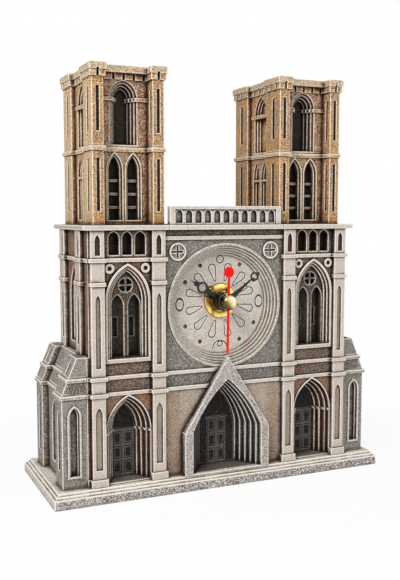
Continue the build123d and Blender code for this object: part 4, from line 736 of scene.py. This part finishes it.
def roundedCopy(node, width):  # the rounded strips carry 1 in the attribute edge
    shape = bmesh.new()
    shape.from_mesh(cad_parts[node].data)
    bmesh.ops.remove_doubles(shape, verts=shape.verts, dist=rounding["weldWithin"] * mm)
    mark = shape.faces.layers.float.new("edge")
    least = math.radians(rounding["fromDegrees"])
    proud = [
        edge for edge in shape.edges
        if len(edge.link_faces) == 2 and edge.is_convex and edge.calc_face_angle(0) > least
    ]
    made = bmesh.ops.bevel(
        shape, geom=proud, offset=width, offset_type="OFFSET", segments=rounding["segments"],
        profile=0.5, affect="EDGES", clamp_overlap=False, material=-1,
    )
    for face in shape.faces:
        face[mark] = 0.0
    for face in made["faces"]:
        face[mark] = 1.0
    bmesh.ops.triangulate(shape, faces=shape.faces)
    low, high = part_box(node)
    for point in shape.verts:
        point.co = [min(max(point.co[axis], low[axis]), high[axis]) for axis in range(3)]
    mesh = bpy.data.meshes.new(node + "_cast")
    shape.to_mesh(mesh)
    shape.free()
    return placed(node + "_cast", mesh)


for node, setting in castings.items():
    piece = roundedCopy(node, setting["round"] * mm)
    piece.data.materials.append(stonePaints[setting["paint"]])
    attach(piece, "case")
    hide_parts(node)
    print(node, len(piece.data.polygons))

# Clockwork: the nodes keep their shapes and get finished materials
clockFinish = {
    "movement_case": "casePlastic", "movement_cover": "coverPlastic", "gasket": "gasketRubber",
    "dress_washer": "washerBrass", "bush_nut": "brass", "cell": "cellSleeve",
    "contact_right": "springSteel", "contact_left": "springSteel", "stator": "coreSteel",
    "coil_bobbin": "bobbinNylon", "coil_winding": "coilWire", "circuit_board": "boardGreen",
    "chip": "chipResin", "quartz_crystal": "crystalCan", "rotor": "rotorFerrite",
    "intermediate_wheel": "wheelNylon", "seconds_wheel": "wheelNylon", "third_wheel": "wheelNylon",
    "centre_wheel": "wheelNylon", "minute_wheel": "wheelNylon", "hour_wheel": "wheelNylon",
    "setting_knob": "knobPlastic", "hour_hand": "blackLacquer", "minute_hand": "blackLacquer",
    "second_hand": "redLacquer", "hand_collar": "nickel", "hand_cap": "capBrass",
}
for node, name in clockFinish.items():
    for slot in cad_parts[node].material_slots:
        slot.material = clockPaints[name]
print("clockwork finished")

# Floor, lights and camera: lengths in metres, turns in degrees, power in watts
cameraView = {
    "place": (-0.17026, -0.37885, 0.13269), "turn": -24.01, "tilt": -5.36, "lens": 50.23, "sensor": 36.0,
}
lamps = {
    "key": {"place": (-0.70, -0.55, 0.75), "size": 0.4, "power": 9.0},
    "fill": {"place": (0.45, -0.8, 0.35), "size": 0.7, "power": 2.5},
}
lampTarget = (0, 0, 0.1)
worldLevel = 0.32
plainWhite = (1, 1, 1, 1)
floorLook = {  # seen as white, but by the slab only whiteNear of it, where the matt shows the shadow
    "half": 3.0, "matt": (0.92, 0.92, 0.92, 1), "whiteNear": 0.92, "whiteFrom": 0.1, "whiteTo": 0.24,
}


def aimed(place, target):
    return (Vector(target) - Vector(place)).to_track_quat("-Z", "Y").to_euler()


def seenDirectly(paint):  # 1 for rays from the camera, off gloss or through glass
    kinds = ("Is Camera Ray", "Is Glossy Ray", "Is Transmission Ray")
    camera, gloss, glass = paint.split("LightPath", kinds)
    return camera.atLeast(gloss).atLeast(glass)


for name, lamp in lamps.items():
    light = bpy.data.lights.new(name, "AREA")
    light.size = lamp["size"]
    light.energy = lamp["power"]
    holder = placed(name, light)
    holder.location = lamp["place"]
    holder.rotation_euler = aimed(lamp["place"], lampTarget)

world = Paint(bpy.data.worlds.new("studio"))
level = seenDirectly(world) * (1.0 - worldLevel) + worldLevel
sky = world.make("Background", None, {"Color": plainWhite, "Strength": level})
bpy.context.scene.world = world.surface(sky, "OutputWorld")

floorShape = bmesh.new()
bmesh.ops.create_grid(floorShape, x_segments=1, y_segments=1, size=floorLook["half"])
floorMesh = bpy.data.meshes.new("floor")
floorShape.to_mesh(floorMesh)
floorShape.free()
floor = placed("floor", floorMesh)
floorPaint = Paint(bpy.data.materials.new("floorPaint"))
across, back, _ = floorPaint.axes(floorPaint.place())
away = (across * across + back * back) ** 0.5
whiter = away.step(floorLook["whiteFrom"], floorLook["whiteTo"])
share = whiter * (1 - floorLook["whiteNear"]) + floorLook["whiteNear"]
matt = floorPaint.make("BsdfDiffuse", None, {"Color": floorLook["matt"]})
white = floorPaint.make("Emission", None, {"Color": plainWhite, "Strength": 1.0})
mixed = floorPaint.make("MixShader", None, {0: share * seenDirectly(floorPaint), 1: matt, 2: white})
floorMesh.materials.append(floorPaint.surface(mixed))

camera = bpy.data.cameras.new("camera")
camera.lens = cameraView["lens"]
camera.sensor_width = cameraView["sensor"]
eye = placed("camera", camera)
eye.location = cameraView["place"]
eye.rotation_euler = (math.radians(90 + cameraView["tilt"]), 0, math.radians(cameraView["turn"]))
bpy.context.scene.camera = eye
bpy.context.scene.view_settings.view_transform = "Standard"

print("scene ready")
